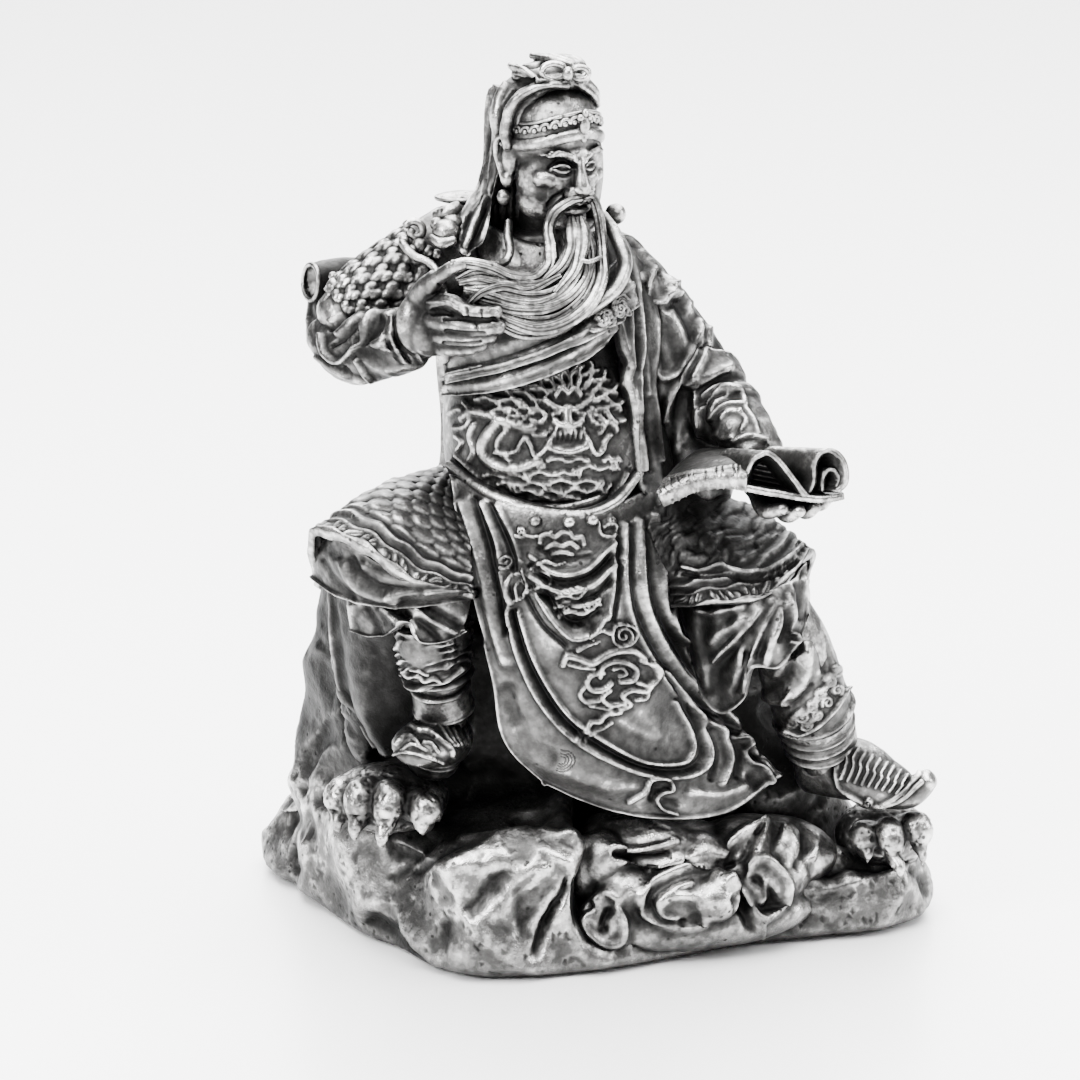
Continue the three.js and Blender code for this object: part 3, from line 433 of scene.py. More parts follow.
def rub_and_shade(piece, lift, contrast):
    """Writes the attribute: lift brightens or darkens a piece, and contrast sets its relief apart. A
    lift given as a function of place darkens parts of a piece; on the rock that is painted shade.
    """
    spots, normals = points_of(piece)
    count = len(spots)
    ends = np.empty(len(piece.data.edges) * 2, int)
    piece.data.edges.foreach_get("vertices", ends)
    a, b = ends.reshape(-1, 2).T
    valence = np.maximum(np.bincount(a, minlength=count) + np.bincount(b, minlength=count), 1)
    edge = np.median(np.linalg.norm(spots[a] - spots[b], axis=1))
    soft, high, done = spots.copy(), np.zeros(count), 0
    for reach, weight in RUB_SCALES:
        rounds = int(min(MOST_ROUNDS, max(1, 2 * (reach / edge) ** 2)))
        for _ in range(rounds - done):
            for k in range(3):
                near = np.bincount(a, soft[b, k], count) + np.bincount(b, soft[a, k], count)
                soft[:, k] = 0.4 * soft[:, k] + 0.6 * near / valence
        done = max(done, rounds)
        high += weight * np.einsum("ij,ij->i", spots - soft, normals)
    if callable(lift):
        lift = lift(spots)
    rubbed_and_shade = piece.data.attributes.new("rubbed_and_shade", "FLOAT", "POINT")
    rubbed_and_shade.data.foreach_set("value", 0.5 + 0.5 * np.tanh(0.9 * contrast * high + lift) + 0.12 * lift)
    return edge


# %% [markdown]
# The material reads that attribute and adds what the mesh can't know: an ambient occlusion
# darkening, which is partly the blackening that stays in deep corners where pieces meet and partly
# painted shade under the arms, behind the legs and wherever parts close in on each other, blotches
# left by uneven rubbing, the pinholes of the casting and a fine grain on the skin. They are added to
# one level, and a ramp of greys turns that level into the metal's colour, so a single number runs
# from the blackest hollow to the brightest edge.

# %% The aged pewter material
GREYS = ((0.0, 0.009), (0.25, 0.029), (0.5, 0.062), (0.72, 0.128), (0.98, 0.74))  # level, grey


def pewter_material():
    material = bpy.data.materials.new("aged_pewter")
    material.use_nodes = True
    tree = material.node_tree
    nodes, link = tree.nodes, tree.links.new
    shader = nodes["Principled BSDF"]
    shader.inputs["Metallic"].default_value = 1.0

    def node(kind, **values):
        made = nodes.new(kind)
        for key, value in values.items():
            if key in made.inputs:
                made.inputs[key].default_value = value
            else:
                setattr(made, key, value)
        return made

    def math_node(operation, a, b):
        made = nodes.new("ShaderNodeMath")
        made.operation = operation
        for socket, value in zip(made.inputs, (a, b)):
            if isinstance(value, (int, float)):
                socket.default_value = value
            else:
                link(value, socket)
        return made.outputs[0]

    def scaled(value, low, high, to_low, to_high):
        made = node("ShaderNodeMapRange")
        link(value, made.inputs["Value"])
        for key, number in zip(
            ("From Min", "From Max", "To Min", "To Max"), (low, high, to_low, to_high),
        ):
            made.inputs[key].default_value = number
        return made.outputs[0]

    place = node("ShaderNodeTexCoord").outputs["Object"]

    def speckle(scale, detail=3.0, roughness=0.6):
        made = node("ShaderNodeTexNoise", Scale=scale, Detail=detail, Roughness=roughness)
        link(place, made.inputs["Vector"])
        return made.outputs["Fac"]

    # The attribute holds the rubbing and each piece's lift; on the rock the lift is painted shade.
    rubbed_and_shade = node("ShaderNodeAttribute", attribute_name="rubbed_and_shade").outputs["Fac"]
    # Ambient occlusion within 18 mm darkens the level: partly the blackening kept in tight corners, and
    # partly painted shade under the arms, behind the legs and wherever parts close in on each other.
    wide = node("ShaderNodeAmbientOcclusion", Distance=0.018, samples=3).outputs["AO"]
    blotches = scaled(speckle(95.0, 5.0), 0.3, 0.7, -0.14, 0.14)
    streaks = scaled(speckle(420.0, 4.0), 0.3, 0.7, -0.13, 0.13)
    level = math_node(
        "ADD", scaled(rubbed_and_shade, -0.5, 1.5, -0.62, 0.66), math_node("ADD", blotches, streaks),
    )
    level = math_node("ADD", level, scaled(wide, 0.2, 0.95, -0.02, 0.5))
    pores = node("ShaderNodeTexVoronoi", Scale=330.0, Randomness=1.0)
    link(place, pores.inputs["Vector"])
    sparse = scaled(speckle(60.0, 2.0), 0.5, 0.62, 0.0, 1.0)
    hole = math_node("MULTIPLY", scaled(pores.outputs["Distance"], 0.1, 0.2, 1.0, 0.0), sparse)
    level = math_node("SUBTRACT", level, math_node("MULTIPLY", hole, 0.4))

    colour = node("ShaderNodeValToRGB")
    ramp_colours = colour.color_ramp
    while len(ramp_colours.elements) < len(GREYS):
        ramp_colours.elements.new(0.5)
    for element, (where, grey) in zip(ramp_colours.elements, GREYS):
        element.position = where
        element.color = (grey, grey * 0.985, grey * 0.965, 1)
    link(level, colour.inputs["Fac"])
    link(colour.outputs["Color"], shader.inputs["Base Color"])
    link(scaled(level, 0.1, 0.9, 0.55, 0.27), shader.inputs["Roughness"])

    skin = math_node(
        "ADD", scaled(speckle(1500.0, 2.0), 0.0, 1.0, 0.0, 1.0),
        scaled(speckle(500.0, 3.0), 0.0, 1.0, 0.0, 1.6),
    )
    bump = node("ShaderNodeBump", Strength=0.35, Distance=0.0003)
    link(math_node("SUBTRACT", skin, math_node("MULTIPLY", hole, 2.5)), bump.inputs["Height"])
    link(bump.outputs["Normal"], shader.inputs["Normal"])
    return material


pewter = pewter_material()
FINE = 0.36  # share of the triangles that is kept after sculpting


def finish(piece, share=FINE, lift=0.0, contrast=1.0):
    """Gives a piece its metal and its place in the frame, and thins its mesh where it is flat."""
    edge = rub_and_shade(piece, lift, contrast)
    if share < 1:
        piece.modifiers.new("thin", "DECIMATE").ratio = share
        apply_modifiers(piece)
    piece.data.materials.clear()
    piece.data.materials.append(pewter)
    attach(piece, "root")
    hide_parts("statue")
    triangles = sum(len(face.vertices) - 2 for face in piece.data.polygons)
    print(f"{piece.name}: {triangles} triangles, edges of {edge:.2f} mm")
    return piece


# %% [markdown]
# ## The rock
# The plinth is a craggy rock with a high ledge on the left, a low one on the right and a seat that
# narrows up to the figure's lap. It is built as the solid is, from rings round the same plan, then
# melted with the seat, a boulder behind the left leg and a shoulder behind the pelt's flap. Broad
# waves, scoops, lumps and pits then roughen it, each from noise of its own size.

# %% Build the rock
ROCK_WIDTH, ROCK_DEPTH, LEDGE, LOW_LEDGE = 176, 115, 33, 19
FOOT = np.array(
    [
        [-0.42, 0.47, 0.6], [-0.392, 0.322, 0.75], [-0.347, 0.165, 0.9], [-0.273, -0.043, 1],
        [-0.21, -0.148, 1], [-0.159, -0.261, 1], [-0.085, -0.322, 1], [-0.017, -0.322, 1],
        [0.045, -0.304, 1], [0.074, -0.287, 0.5], [0.136, -0.252, 0.55], [0.216, -0.191, 0.7],
        [0.313, -0.122, 0.9], [0.403, -0.078, 1], [0.494, -0.035, 1], [0.551, 0.026, 1],
        [0.574, 0.139, 0.9], [0.568, 0.313, 0.8], [0.523, 0.487, 0.75], [0.409, 0.591, 0.75],
        [0.239, 0.643, 0.8], [0.045, 0.678, 0.9], [-0.17, 0.67, 0.8], [-0.341, 0.609, 0.6],
    ]
)
FOOT_CENTRE = np.array([0.045, 0.191])
HIGH_LEDGE_END = 9


def rock_foot():
    ledges = [LEDGE if i < HIGH_LEDGE_END or i > len(FOOT) - 4 else LOW_LEDGE for i in range(len(FOOT))]
    ring = np.column_stack([FOOT[:, 0] * ROCK_WIDTH, FOOT[:, 1] * ROCK_DEPTH, FOOT[:, 2] * ledges])
    loop = np.vstack([ring[-3:], ring, ring[:4]])
    centre = FOOT_CENTRE * (ROCK_WIDTH, ROCK_DEPTH)
    around, up = 240, 60

    def place(column, row):
        edge = curve(loop, (3 + (column % around) / around * len(ring)) / (len(loop) - 1))
        level = row / up * 6
        inset = np.interp(level, [0, 1, 2, 3, 4, 5, 6], [1, 0.02, 0, -0.005, 0.03, 0.12, 1])
        share = np.interp(level, [0, 1, 2, 3, 4, 5, 6], [0, 0, 0.16, 0.5, 0.9, 1.03, 1.3])
        flat = centre + (edge[:, :2] - centre) * (1 - inset)[:, None]
        return np.column_stack([flat, edge[:, 2] * share])

    return from_grid("foot", around, up, place)


def rock_seat():
    path = [
        (-8, 36, 8), (-10, 37, 21), (-10, 36, 34), (-11, 34, 52), (-10, 33, 68), (-8, 31, 83),
        (-5, 27, 98),
    ]
    radii = [(54, 33), (57, 34), (55, 34), (51, 33), (48, 31), (46, 30), (40, 27)]
    seat = limb("seat", path, radii, 120, 80, up=(0, 1, 0), bulge=0.15)
    boulder = limb(
        "boulder", [(44, 28, 8), (42, 28, 34), (37, 28, 62), (32, 26, 90)],
        [(42, 28), (35, 25), (27, 21), (18, 16)], 80, 50, up=(0, 1, 0), bulge=0.1,
    )
    return [seat, boulder]


ROCK_FORMS = [
    line(9, -2.0, 470, 908, 488, 888, 503, 874), line(12, -1.6, 372, 922, 388, 928),
    line(5, -1.0, 405, 873, 432, 858, 460, 842), line(4, -0.8, 390, 878, 402, 862),
    line(5, 1.6, 462, 836, 500, 838, 540, 836, 566, 838), line(5, 1.4, 566, 838, 578, 852, 582, 872),
    line(5, -2.4, 572, 884, 550, 922, 537, 955), line(5, -1.6, 556, 905, 548, 925),
    line(5, -2.0, 293, 872, 292, 892, 304, 908, 330, 925), line(6, -1.2, 300, 790, 290, 830, 291, 868),
    line(8, 1.4, 284, 830, 276, 862, 286, 880), line(16, 1.6, 345, 838, 365, 880, 372, 905),
    line(12, 1.2, 445, 870, 470, 862, 500, 858), line(9, 1.2, 495, 912, 520, 890, 545, 870),
    line(8, -1.0, 352, 948, 400, 962, 440, 985), line(7, -1.2, 440, 930, 446, 965),
    line(12, 0.9, 450, 955, 480, 935, 520, 950), line(6, -1.8, 832, 868, 865, 862, 896, 866),
    line(9, 1.2, 826, 848, 850, 845), line(4, 1.0, 824, 890, 860, 880, 900, 868, 925, 852),
    line(10, -0.8, 770, 940, 810, 915, 830, 925), line(8, -0.7, 620, 950, 680, 948, 740, 938),
]


def weathered(spots, normals):
    """Water-worn faces with rounded arrises, a few scoops, and a fine rasp with pits."""
    x, y = front(spots)
    still = ramp(spots[:, 2], 0, 4)
    broad = 2.4 * (1 - np.abs(grain(spots, 34, 2)) * 2) + 1.2 * grain(spots + 300, 22, 2)
    scoops = -1.6 * ramp(grain(spots + 90, 17, 2), 0.2, 0.55)
    lumps = grain(spots + 40, 8, 2) * 0.45
    pits = -0.22 * ramp(grain(spots + 150, 2.4, 2), 0.42, 0.6)
    rasp = grain(spots + 210, 1.6, 2) * 0.05
    flank = ramp(-spots[:, 0], 34, 48) * ramp(spots[:, 2], 40, 52) * ramp(-spots[:, 1], -32, -12)
    wrinkles = (
        0.75 * np.sin(spots[:, 2] * 1.0 + 0.5 * spots[:, 0] + 3.5 * grain(spots, 12, 2))
        * ramp(grain(spots + 60, 14, 2), -0.2, 0.3) * flank
    )
    forms = swell(x, y, ROCK_FORMS) * ramp(-normals[:, 1] + 0.4 * normals[:, 2], -0.1, 0.25)
    return (broad + scoops + lumps + wrinkles + forms) * still + pits + rasp - 1.2


rock = melt(
    "rock", [rock_foot(), *rock_seat(), lump("shoulder", (-43, 8, 70), (9, 13, 27), fineness=4)], 0.95,
    14,
)
sculpt(rock, weathered)
# The rock's lift is painted shade: from 30 mm up, where the rock lies behind and under the figure, it is
# darkened, and it is a little darker again towards the right.
finish(
    rock, 0.38, lambda spots: 0.35 - 2.3 * ramp(spots[:, 2], 30, 50) - 0.35 * ramp(spots[:, 0], 15, 55),
    1.3,
)

# %% [markdown]
# ## The pelt
# An animal's skin lies over the rock. Its paws hang over the ledges under the boots, and its head
# and folds lie below the robe's hem. Each toe is a tube that swells at the knuckle, with a claw
# that starts inside it. The folds are melted into one skin and the paws into another, and the
# flap that hangs beside the right leg is a cloth of its own.

# %% Build the pelt
def toe(base, knuckle, tip, size):
    """A toe and its claw. The claw is narrower and starts under a fold of skin."""
    base, knuckle, tip = np.array(base, float), np.array(knuckle, float), np.array(tip, float)
    middle = knuckle + (tip - knuckle) * 0.35
    down = np.array([0, 0, -1.0])
    flesh = limb(
        "toe", [base, knuckle, middle, middle + down], [size, size, size * 0.92, size * 0.6], 28, 30,
    )
    claw = limb(
        "claw",
        [
            knuckle + (middle - knuckle) * 0.6, middle + down * 1.5, tip + (0, 0, 1.5),
            tip + (0, 0.8, -1.2),
        ],
        [size * 0.6, size * 0.62, size * 0.38, size * 0.1], 24, 26,
    )
    return [flesh, claw]


def paw(pad, half, toes, tips, size):
    pieces = [lump("pad", pad, half, fineness=4)]
    for knuckle, tip in zip(toes, tips):
        base = np.array(pad) + (np.array(knuckle) - pad) * 0.3
        pieces += toe(base, knuckle, tip, size)
    return pieces


def paws():
    pieces = paw(
        (-38, -14, 41), (15, 12, 8.6),
        [(-49, -16, 43), (-44, -22.5, 44.5), (-37, -26, 45), (-28.5, -28, 43)],
        [(-50.5, -20.5, 35), (-46, -26.5, 35), (-39, -31, 34.5), (-29, -32, 38)], 4.4,
    )
    pieces += paw(
        (88, 9, 23), (12, 9, 9.5), [(82, -4, 27.5), (88.5, -6, 29), (95.5, -4, 30)],
        [(83, -8.5, 22.5), (91, -11, 19.5), (97, -7, 21.5)], 3.7,
    )
    return melt("paws", pieces, 0.45, 5)


def pelt():
    pieces = []
    for centre, half, turn, tip in (
        (spot(625, 890, 24), (8, 6, 6), 0, 0), (spot(586, 868, 21), (5, 5, 9), 0, 0),
        ((20, -9, 21), (17, 15, 14), 0, 0), ((36, -9, 20), (19, 16.5, 13), 0, 0),
        ((52, -6, 20), (17, 16, 13), 0, 0), ((34, -6, 19), (33, 17, 12), 0, 0),
        ((57, 0, 21), (19, 13, 10), 0, 0), ((26, -16, 30), (13, 8, 6), -0.3, 0),
        ((15.5, -20, 26), (7, 7, 8.4), 0, 0.3), ((35, -20.5, 17), (15, 8.5, 10), 0.2, 0),
        ((43.5, -25, 18), (6.6, 6, 6.4), 0, 0), ((50, -10, 27), (9, 9, 7), 0, 0),
        ((61.5, -8, 26), (5, 6, 6.4), 0, 0), ((17, -26, 12), (8, 5, 9), 0, 0),
        ((40, -18, 28), (6, 6, 5), 0, 0), ((54, -15, 20), (9, 7, 10), 0, 0),
        ((36, -14, 10), (34, 14, 9), 0.2, 0),
    ):
        pieces.append(lump("fold", centre, half, turn, tip, 4))
    return melt("pelt", pieces, 0.5, 16)


PELT_STROKES = [
    line(
        5, 1.8, 728, 882, 712, 870, 693, 866, 672, 872, 654, 882, 642, 895, 644, 912, 662, 924, 684,
        928, 704, 924,
    ),
    line(4, 1.2, 690, 884, 674, 889, 658, 901, 662, 914, 676, 920),
    line(5, 1.6, 664, 902, 676, 896, 692, 896), line(4, 1.2, 650, 868, 670, 858, 694, 856),
    line(2.6, -0.9, 652, 904, 662, 919, 684, 922), line(8, 1.4, 606, 820, 622, 816, 645, 822, 668, 834),
    line(3.4, 1.6, 612, 847, 634, 850, 660, 846, 676, 842), line(3, -2.0, 616, 854, 640, 858, 668, 855),
    line(4, 1.2, 624, 862, 650, 864, 680, 858), line(4.6, 1.8, 722, 856, 732, 842, 746, 830, 760, 824),
    line(3, -1.6, 728, 866, 742, 858, 752, 842, 762, 826), line(3.4, 1.2, 736, 862, 748, 850, 756, 836),
    line(4, 1.5, 766, 816, 762, 838, 754, 858, 748, 874),
    line(4.4, 2.0, 750, 866, 758, 860, 768, 860, 780, 870, 788, 884, 786, 900, 777, 912, 766, 916),
    line(5, -1.6, 756, 880, 764, 886, 772, 898, 768, 908), line(3, 0.9, 764, 880, 766, 892, 762, 902),
    line(3.6, 1.6, 728, 882, 742, 890, 750, 902, 756, 914, 764, 919, 772, 912),
    line(6, -1.8, 738, 900, 746, 914, 752, 930), line(1.6, 0.7, 764, 919, 764, 936, 761, 950),
    line(4, -1.4, 778, 822, 774, 845, 782, 862), line(4, -1.2, 800, 820, 806, 846, 798, 866),
    line(4, 1.2, 810, 812, 818, 835, 812, 858),
    line(4.4, 1.6, 586, 914, 586, 926, 594, 936, 608, 944, 622, 940, 624, 924, 618, 908),
    line(5, -2.4, 603, 930, 604, 920, 608, 912), line(2, 1.0, 606, 922, 604, 928),
    line(5, 1.6, 596, 900, 606, 892, 618, 898), line(3, -1.2, 590, 905, 584, 914),
]


def pelt_skin(spots, normals):
    """Folds and curls of the skin, soft hollows, and pores in the toes."""
    x, y = front(spots)
    forms = (
        swell(x, y, PELT_STROKES) * ramp(-normals[:, 1] + 0.3 * normals[:, 2], 0.0, 0.3)
        * ramp(-spots[:, 1], 0, 8)
    )
    hollows = 0.35 * grain(spots, 9, 3)
    pores = -0.25 * ramp(grain(spots + 31, 1.7, 2), 0.25, 0.5) * ramp(-spots[:, 0], 20, 26)
    return forms + hollows + pores + 0.06 * grain(spots + 70, 1.4, 2) - 0.1


def paw_skin(spots, normals):
    pores = -0.28 * ramp(grain(spots + 31, 1.7, 2), 0.2, 0.45)
    return pores + 0.3 * grain(spots, 7, 3) + 0.06 * grain(spots + 70, 1.4, 2)


for piece, skin, lift in ((pelt(), pelt_skin, 0.45), (paws(), paw_skin, 0.0)):
    sculpt(piece, skin)
    finish(piece, FINE, lift)

PELT_FLAP = [
    [(-53, -4, 98), (-47, -16, 95), (-40, -24, 94), (-34, -26, 94)],
    [(-52, -2, 78), (-46, -13, 77), (-39, -19, 79), (-33, -20, 80)],
    [(-50, 0, 64), (-44, -11, 62), (-37, -15, 66), (-31, -16, 67)],
    [(-42, 0, 50), (-38, -9, 50), (-33, -11, 53), (-29, -12, 56)],
]


def flap_relief(u, v, spots):
    return (
        0.7 * grain(spots, 8, 2) + 0.9 * ridge(u, 0.02, 0.025) + 0.6 * ridge(u, 0.55 - 0.3 * v, 0.12)
        - 0.5 * ridge(u, 0.1, 0.05)
    )


finish(cloth("pelt_flap", PELT_FLAP, 80, 110, 4, flap_relief), FINE, -2.0)

# %% [markdown]
# ## Ornament
# Clouds, flames, scales and beaded borders come back all over the armour, so each has a small
# recipe that gives strokes. A scroll is a spiral that opens into a stem. A flame is a stroke that
# thins to a point.

# %% Recipes for ornament
def flame(points, width, height, smooth=4):
    """A stroke that starts at full width and thins to a point."""
    return stroke(
        points, [width * (1 - 0.75 * (i / (len(points) - 1)) ** 1.5) for i in range(len(points))],
        height, smooth,
    )


def lick(width, height, *places):
    """A flame through places that are given as x, y, x, y and so on."""
    return flame(np.reshape(places, (-1, 2)), width, height)


def scroll(x, y, size, turn=0.0, hand=1, width=1.6, height=0.5, loops=1.25):
    """A spiral like a cloud's head, open at the outer end."""
    points = []
    for i in range(11):
        angle = turn + hand * i / 10 * loops * 2 * math.pi
        reach = size * (0.22 + 0.78 * i / 10)
        points.append((x + reach * math.cos(angle), y + reach * math.sin(angle)))
    return stroke(points, width, height, 3)


def cloud(x, y, wide, tall, turn=0.0, height=0.9, width=1.5, lobes=4):
    """A bank of cloud: a scroll in the middle, and round it lobes of two nested arcs."""
    strokes = [scroll(x, y, min(wide, tall) * 0.55, turn, 1, width, height)]
    for i in range(lobes):
        angle = turn + i * 2 * math.pi / lobes
        cx, cy = x + 0.6 * wide * math.cos(angle), y + 0.6 * tall * math.sin(angle)
        for size in (0.5, 0.26):
            arc = []
            for k in range(7):
                bend = angle + math.pi * (-0.62 + 1.24 * k / 6)
                arc.append((cx + size * wide * math.cos(bend), cy + size * tall * math.sin(bend)))
            strokes.append(stroke(arc, width, height, 3))
    return strokes


def hills(a, b, wide, tall):
    """Three-armed plates in staggered rows, as on scale armour: 1 on a plate and 0 in the gaps."""
    best = np.zeros(len(a))
    for shift in (0, 1):
        row = np.floor(b / tall) + shift
        c = (a / wide + 0.5 * (row % 2)) % 1 - 0.5
        d = b / tall - row
        for x, y, w, h in (
            (-0.23, -0.16, 0.29, 0.44), (0.23, -0.16, 0.29, 0.44), (0, 0.2, 0.29, 0.54),
            (0, 0, 0.34, 0.4),
        ):
            best = np.maximum(best, np.clip(1 - ((c - x) / w) ** 2 - ((d - y) / h) ** 2, 0, 1) ** 0.55)
    return best


def scales(a, b, wide=1.0, tall=1.0):
    """Rows of round-ended scales that overlap downwards, from 0 at the gaps to 1 at the tips."""
    best = np.zeros(len(a))
    for shift in (0, 1):
        row = np.floor(b / tall) + shift
        c = (a / wide + 0.5 * (row % 2)) % 1 - 0.5
        d = b / tall - row + 0.35
        inside = np.clip(1 - (c / 0.52) ** 2 - (np.maximum(d, 0) / 0.85) ** 2, 0, 1)
        height = np.sqrt(inside) * (0.45 + 0.55 * np.clip(d + 0.4, 0, 1.2))
        best = np.maximum(best, np.where(d > -0.5, height, 0))
    return best


print("a scroll has", len(scroll(0, 0, 5)[0]), "points")

# %% [markdown]
# ## Legs
# Each shin is a plain tube. A greave with cloud relief lies over it, then bands where the trousers
# are tied, and a boot. The right boot has a gathered shaft and arcs over its blunt toe. The left boot
# is laced across the instep and turns up at the toe. Each layer is a tube of its own, because the
# edge where one ends over the next should stay crisp.

# %% Build the legs
def rings(t, count, sharp=1.0):
    """Rounded rings along a tube."""
    return np.abs(np.sin(math.pi * count * t)) ** sharp


def legs():
    limbs = [
        limb(
            "thigh", [(-12, 10, 110), (-28, -12, 109), (-38, -26, 104)], [(13, 11), (12, 10), (8, 8)],
            60, 40,
        ),
        limb(
            "thigh", [(16, 10, 109), (34, -6, 106), (48, -14, 100)], [(13, 10), (12, 9.5), (8, 7)], 60,
            40,
        ),
    ]

    def right_shin(u, t, spots):
        creases = 0.5 * rings(t, 15) * ramp(t, 0.56, 0.62) * (0.7 + 0.3 * np.sin(2 * math.pi * u * 3))
        return creases + 0.15 * grain(spots, 4, 2)

    limbs.append(limb(
        "right_shin",
        [
            spot(434, 606, 24), spot(436, 650, 23), spot(443, 700, 18), spot(436, 742, 15),
            spot(432, 760, 14),
        ],
        [8.2, 8.0, 6.2, 6.6, 6.6], 110, 220, up=(0, 1, 0), relief=right_shin,
    ))
    limbs.append(limb(
        "left_shin", [(60, -14, 90), (64, -11, 78), (72, 1, 54), (73, 4, 46)], [7, 9, 8, 7.6], 90, 120,
        up=(0, 1, 0),
    ))
    return limbs


for piece in legs():
    finish(piece)

RIGHT_GREAVE = [
    line(2.4, 0.9, 401, 668, 399, 676, 405, 684, 416, 687, 430, 686, 446, 681, 462, 668),
    line(3, 0.9, 404, 672, 410, 677, 418, 675, 425, 681, 434, 678, 440, 682),
    line(2, 0.7, 412, 670, 420, 671, 428, 675), line(5, 0.5, 448, 636, 452, 652, 448, 668),
    line(3, 0.6, 400, 640, 396, 652, 400, 664),
]


def right_greave(u, t, spots):
    x, y = front(spots)
    rims = 0.8 * ridge(t, 0.94, 0.03) - 0.5 * ridge(t, 0.86, 0.03)
    slack = (
        0.42 * np.sin(0.7 * (y + 0.3 * x) + 4.0 * grain(spots, 6, 2))
        * ramp(grain(spots + 50, 8, 2), -0.35, 0.2) * ramp(0.8 - t, 0, 0.2)
    )
    return (
        raised(x, y, RIGHT_GREAVE) * ramp(-spots[:, 1], 10, 18) + slack + rims
        + 0.1 * grain(spots, 3, 2)
    )


finish(limb(
    "right_greave", [spot(433, 622, 25), spot(435, 650, 24), spot(438, 676, 22.5)],
    [(9.6, 9.4), (9.2, 9), (8.2, 8)], 200, 130, up=(0, 1, 0), relief=right_greave, bulge=0.1,
), FINE, -0.45)
finish(limb(
    "right_band", [spot(440, 684, 21), spot(444, 708, 18.5)], [(7.2, 7.2), (7.4, 7.4)], 110, 30,
    up=(0, 1, 0), bulge=0.1,
    relief=lambda u, t, spots: 0.5 * (ridge(t, 0.03, 0.06) + ridge(t, 0.95, 0.06))
    + 0.2 * grain(spots, 5, 2),
), FINE, -0.3)

RIGHT_TOE_STROKES = [
    line(
        2.4, 1.1, 388, 752, 386, 742, 391, 733, 400, 727, 410, 725, 418, 730, 428, 731, 440, 740, 450,
        748, 452, 756,
    ),
    line(2.6, 0.8, 396, 744, 404, 736, 414, 738, 420, 746),
    line(2.2, 0.6, 402, 750, 412, 744, 426, 750), line(2.4, 0.7, 424, 742, 432, 744, 438, 752),
    line(2.0, 0.9, 390, 756, 405, 752, 425, 756, 445, 763, 455, 770),
    *(
        stroke(
            [(424 + 7 * i, 716), (434 + 6.5 * i, 721), (444 + 5.5 * i, 732), (454 + 4 * i, 746)], 1.7,
            0.7,
        )
        for i in range(6)
    ),
]


def right_toe(spots, normals):
    x, y = front(spots)
    return (
        raised(x, y, RIGHT_TOE_STROKES) * ramp(-normals[:, 1] + 0.3 * normals[:, 2], 0.0, 0.3)
        + 0.2 * grain(spots, 3, 2)
    )


right_boot = melt(
    "right_boot",
    [
        limb(
            "right_boot",
            [spot(444, 738, 12), spot(434, 742, 20), spot(423, 747, 28), spot(415, 752, 32)],
            [(7.4, 7.2), (8.2, 6.4), (8.4, 5), (6, 3.6)], 60, 60,
        )
    ],
    0.3, 3,
)
sculpt(right_boot, right_toe)
finish(right_boot, 0.5, -0.3)

LEFT_GREAVE = [
    line(6, 1.3, 798, 632, 806, 650, 806, 672, 796, 690, 778, 700, 762, 694),
    line(5, -0.9, 786, 646, 792, 664, 784, 680, 770, 686), line(5, 0.8, 776, 650, 782, 662, 776, 674),
    line(3, -0.8, 812, 634, 822, 654, 824, 672), line(3, 0.8, 820, 630, 830, 652, 834, 668),
    line(3, -0.8, 760, 700, 780, 708, 798, 702, 812, 686), line(5, 0.6, 766, 706, 776, 722, 786, 730),
    line(2, 0.7, 790, 690, 784, 700, 790, 706),
]
CLOUD_BAND = [
    *(
        scroll(x, y, 6.0, i * 1.3, 1 if i % 2 else -1, 2.4, 0.7)
        for i, (x, y) in enumerate(
            [
                (792, 722), (803, 715), (813, 705), (821, 694), (829, 682), (835, 670), (806, 724),
                (818, 714), (827, 702), (836, 690),
            ]
        )
    ),
    *(
        stroke([(x - 6, y + 3), (x, y - 2), (x + 6, y - 6)], 4, 0.7)
        for x, y in ((797, 716), (809, 711), (818, 700), (826, 688), (832, 676), (812, 721))
    ),
    line(2.2, 1.1, 784, 728, 800, 734, 820, 724, 836, 706, 846, 690),
]


def left_greave(u, t, spots):
    x, y = front(spots)
    rims = 1.0 * ridge(t, 0.97, 0.03)
    return swell(x, y, LEFT_GREAVE) + raised(x, y, CLOUD_BAND) + rims + 0.3 * grain(spots, 6, 3)


finish(limb(
    "left_greave", [(60.5, -15, 83), (65, -9.5, 72), (69.4, -3.6, 60)],
    [(8.6, 9), (10, 10), (9.6, 9.6)], 160, 130, up=(0, 1, 0), relief=left_greave, bulge=0.1,
), FINE, -0.4)


def left_band(u, t, spots):
    steps = 0.8 * (ridge(t, 0.3, 0.05) + ridge(t, 0.62, 0.06) + ridge(t, 0.95, 0.05))
    return steps + 0.1 * grain(spots, 3, 2)


finish(limb(
    "left_band", [(69, -3.6, 60), (71, 2, 50)], [(9.8, 9.8), (8.4, 8.4)], 150, 100, up=(0, 1, 0),
    relief=left_band, bulge=0.1,
), FINE, -0.1)


def left_boot(u, t, spots):
    x, y = front(spots)
    strokes = []
    for i in range(11):
        a = (845 + 6.9 * i, 741 + 3.8 * i)
        strokes.append(stroke(
            [a, (a[0] - 6, a[1] + 10), (a[0] - 5, a[1] + 20 - i), (a[0] - 11, a[1] + 36 - 2 * i)], 1.9,
            0.8,
        ))
    strokes.append(line(2.6, 1.0, 838, 745, 836, 765, 838, 785, 850, 795, 872, 806, 900, 800, 922, 782))
    strokes.append(scroll(868, 802, 5, 0, 1, 1.7, 1.0))
    strokes.append(line(3.2, 0.9, 880, 806, 898, 796, 912, 784, 920, 774))
    return raised(x, y, strokes) + 0.1 * grain(spots, 3, 2)


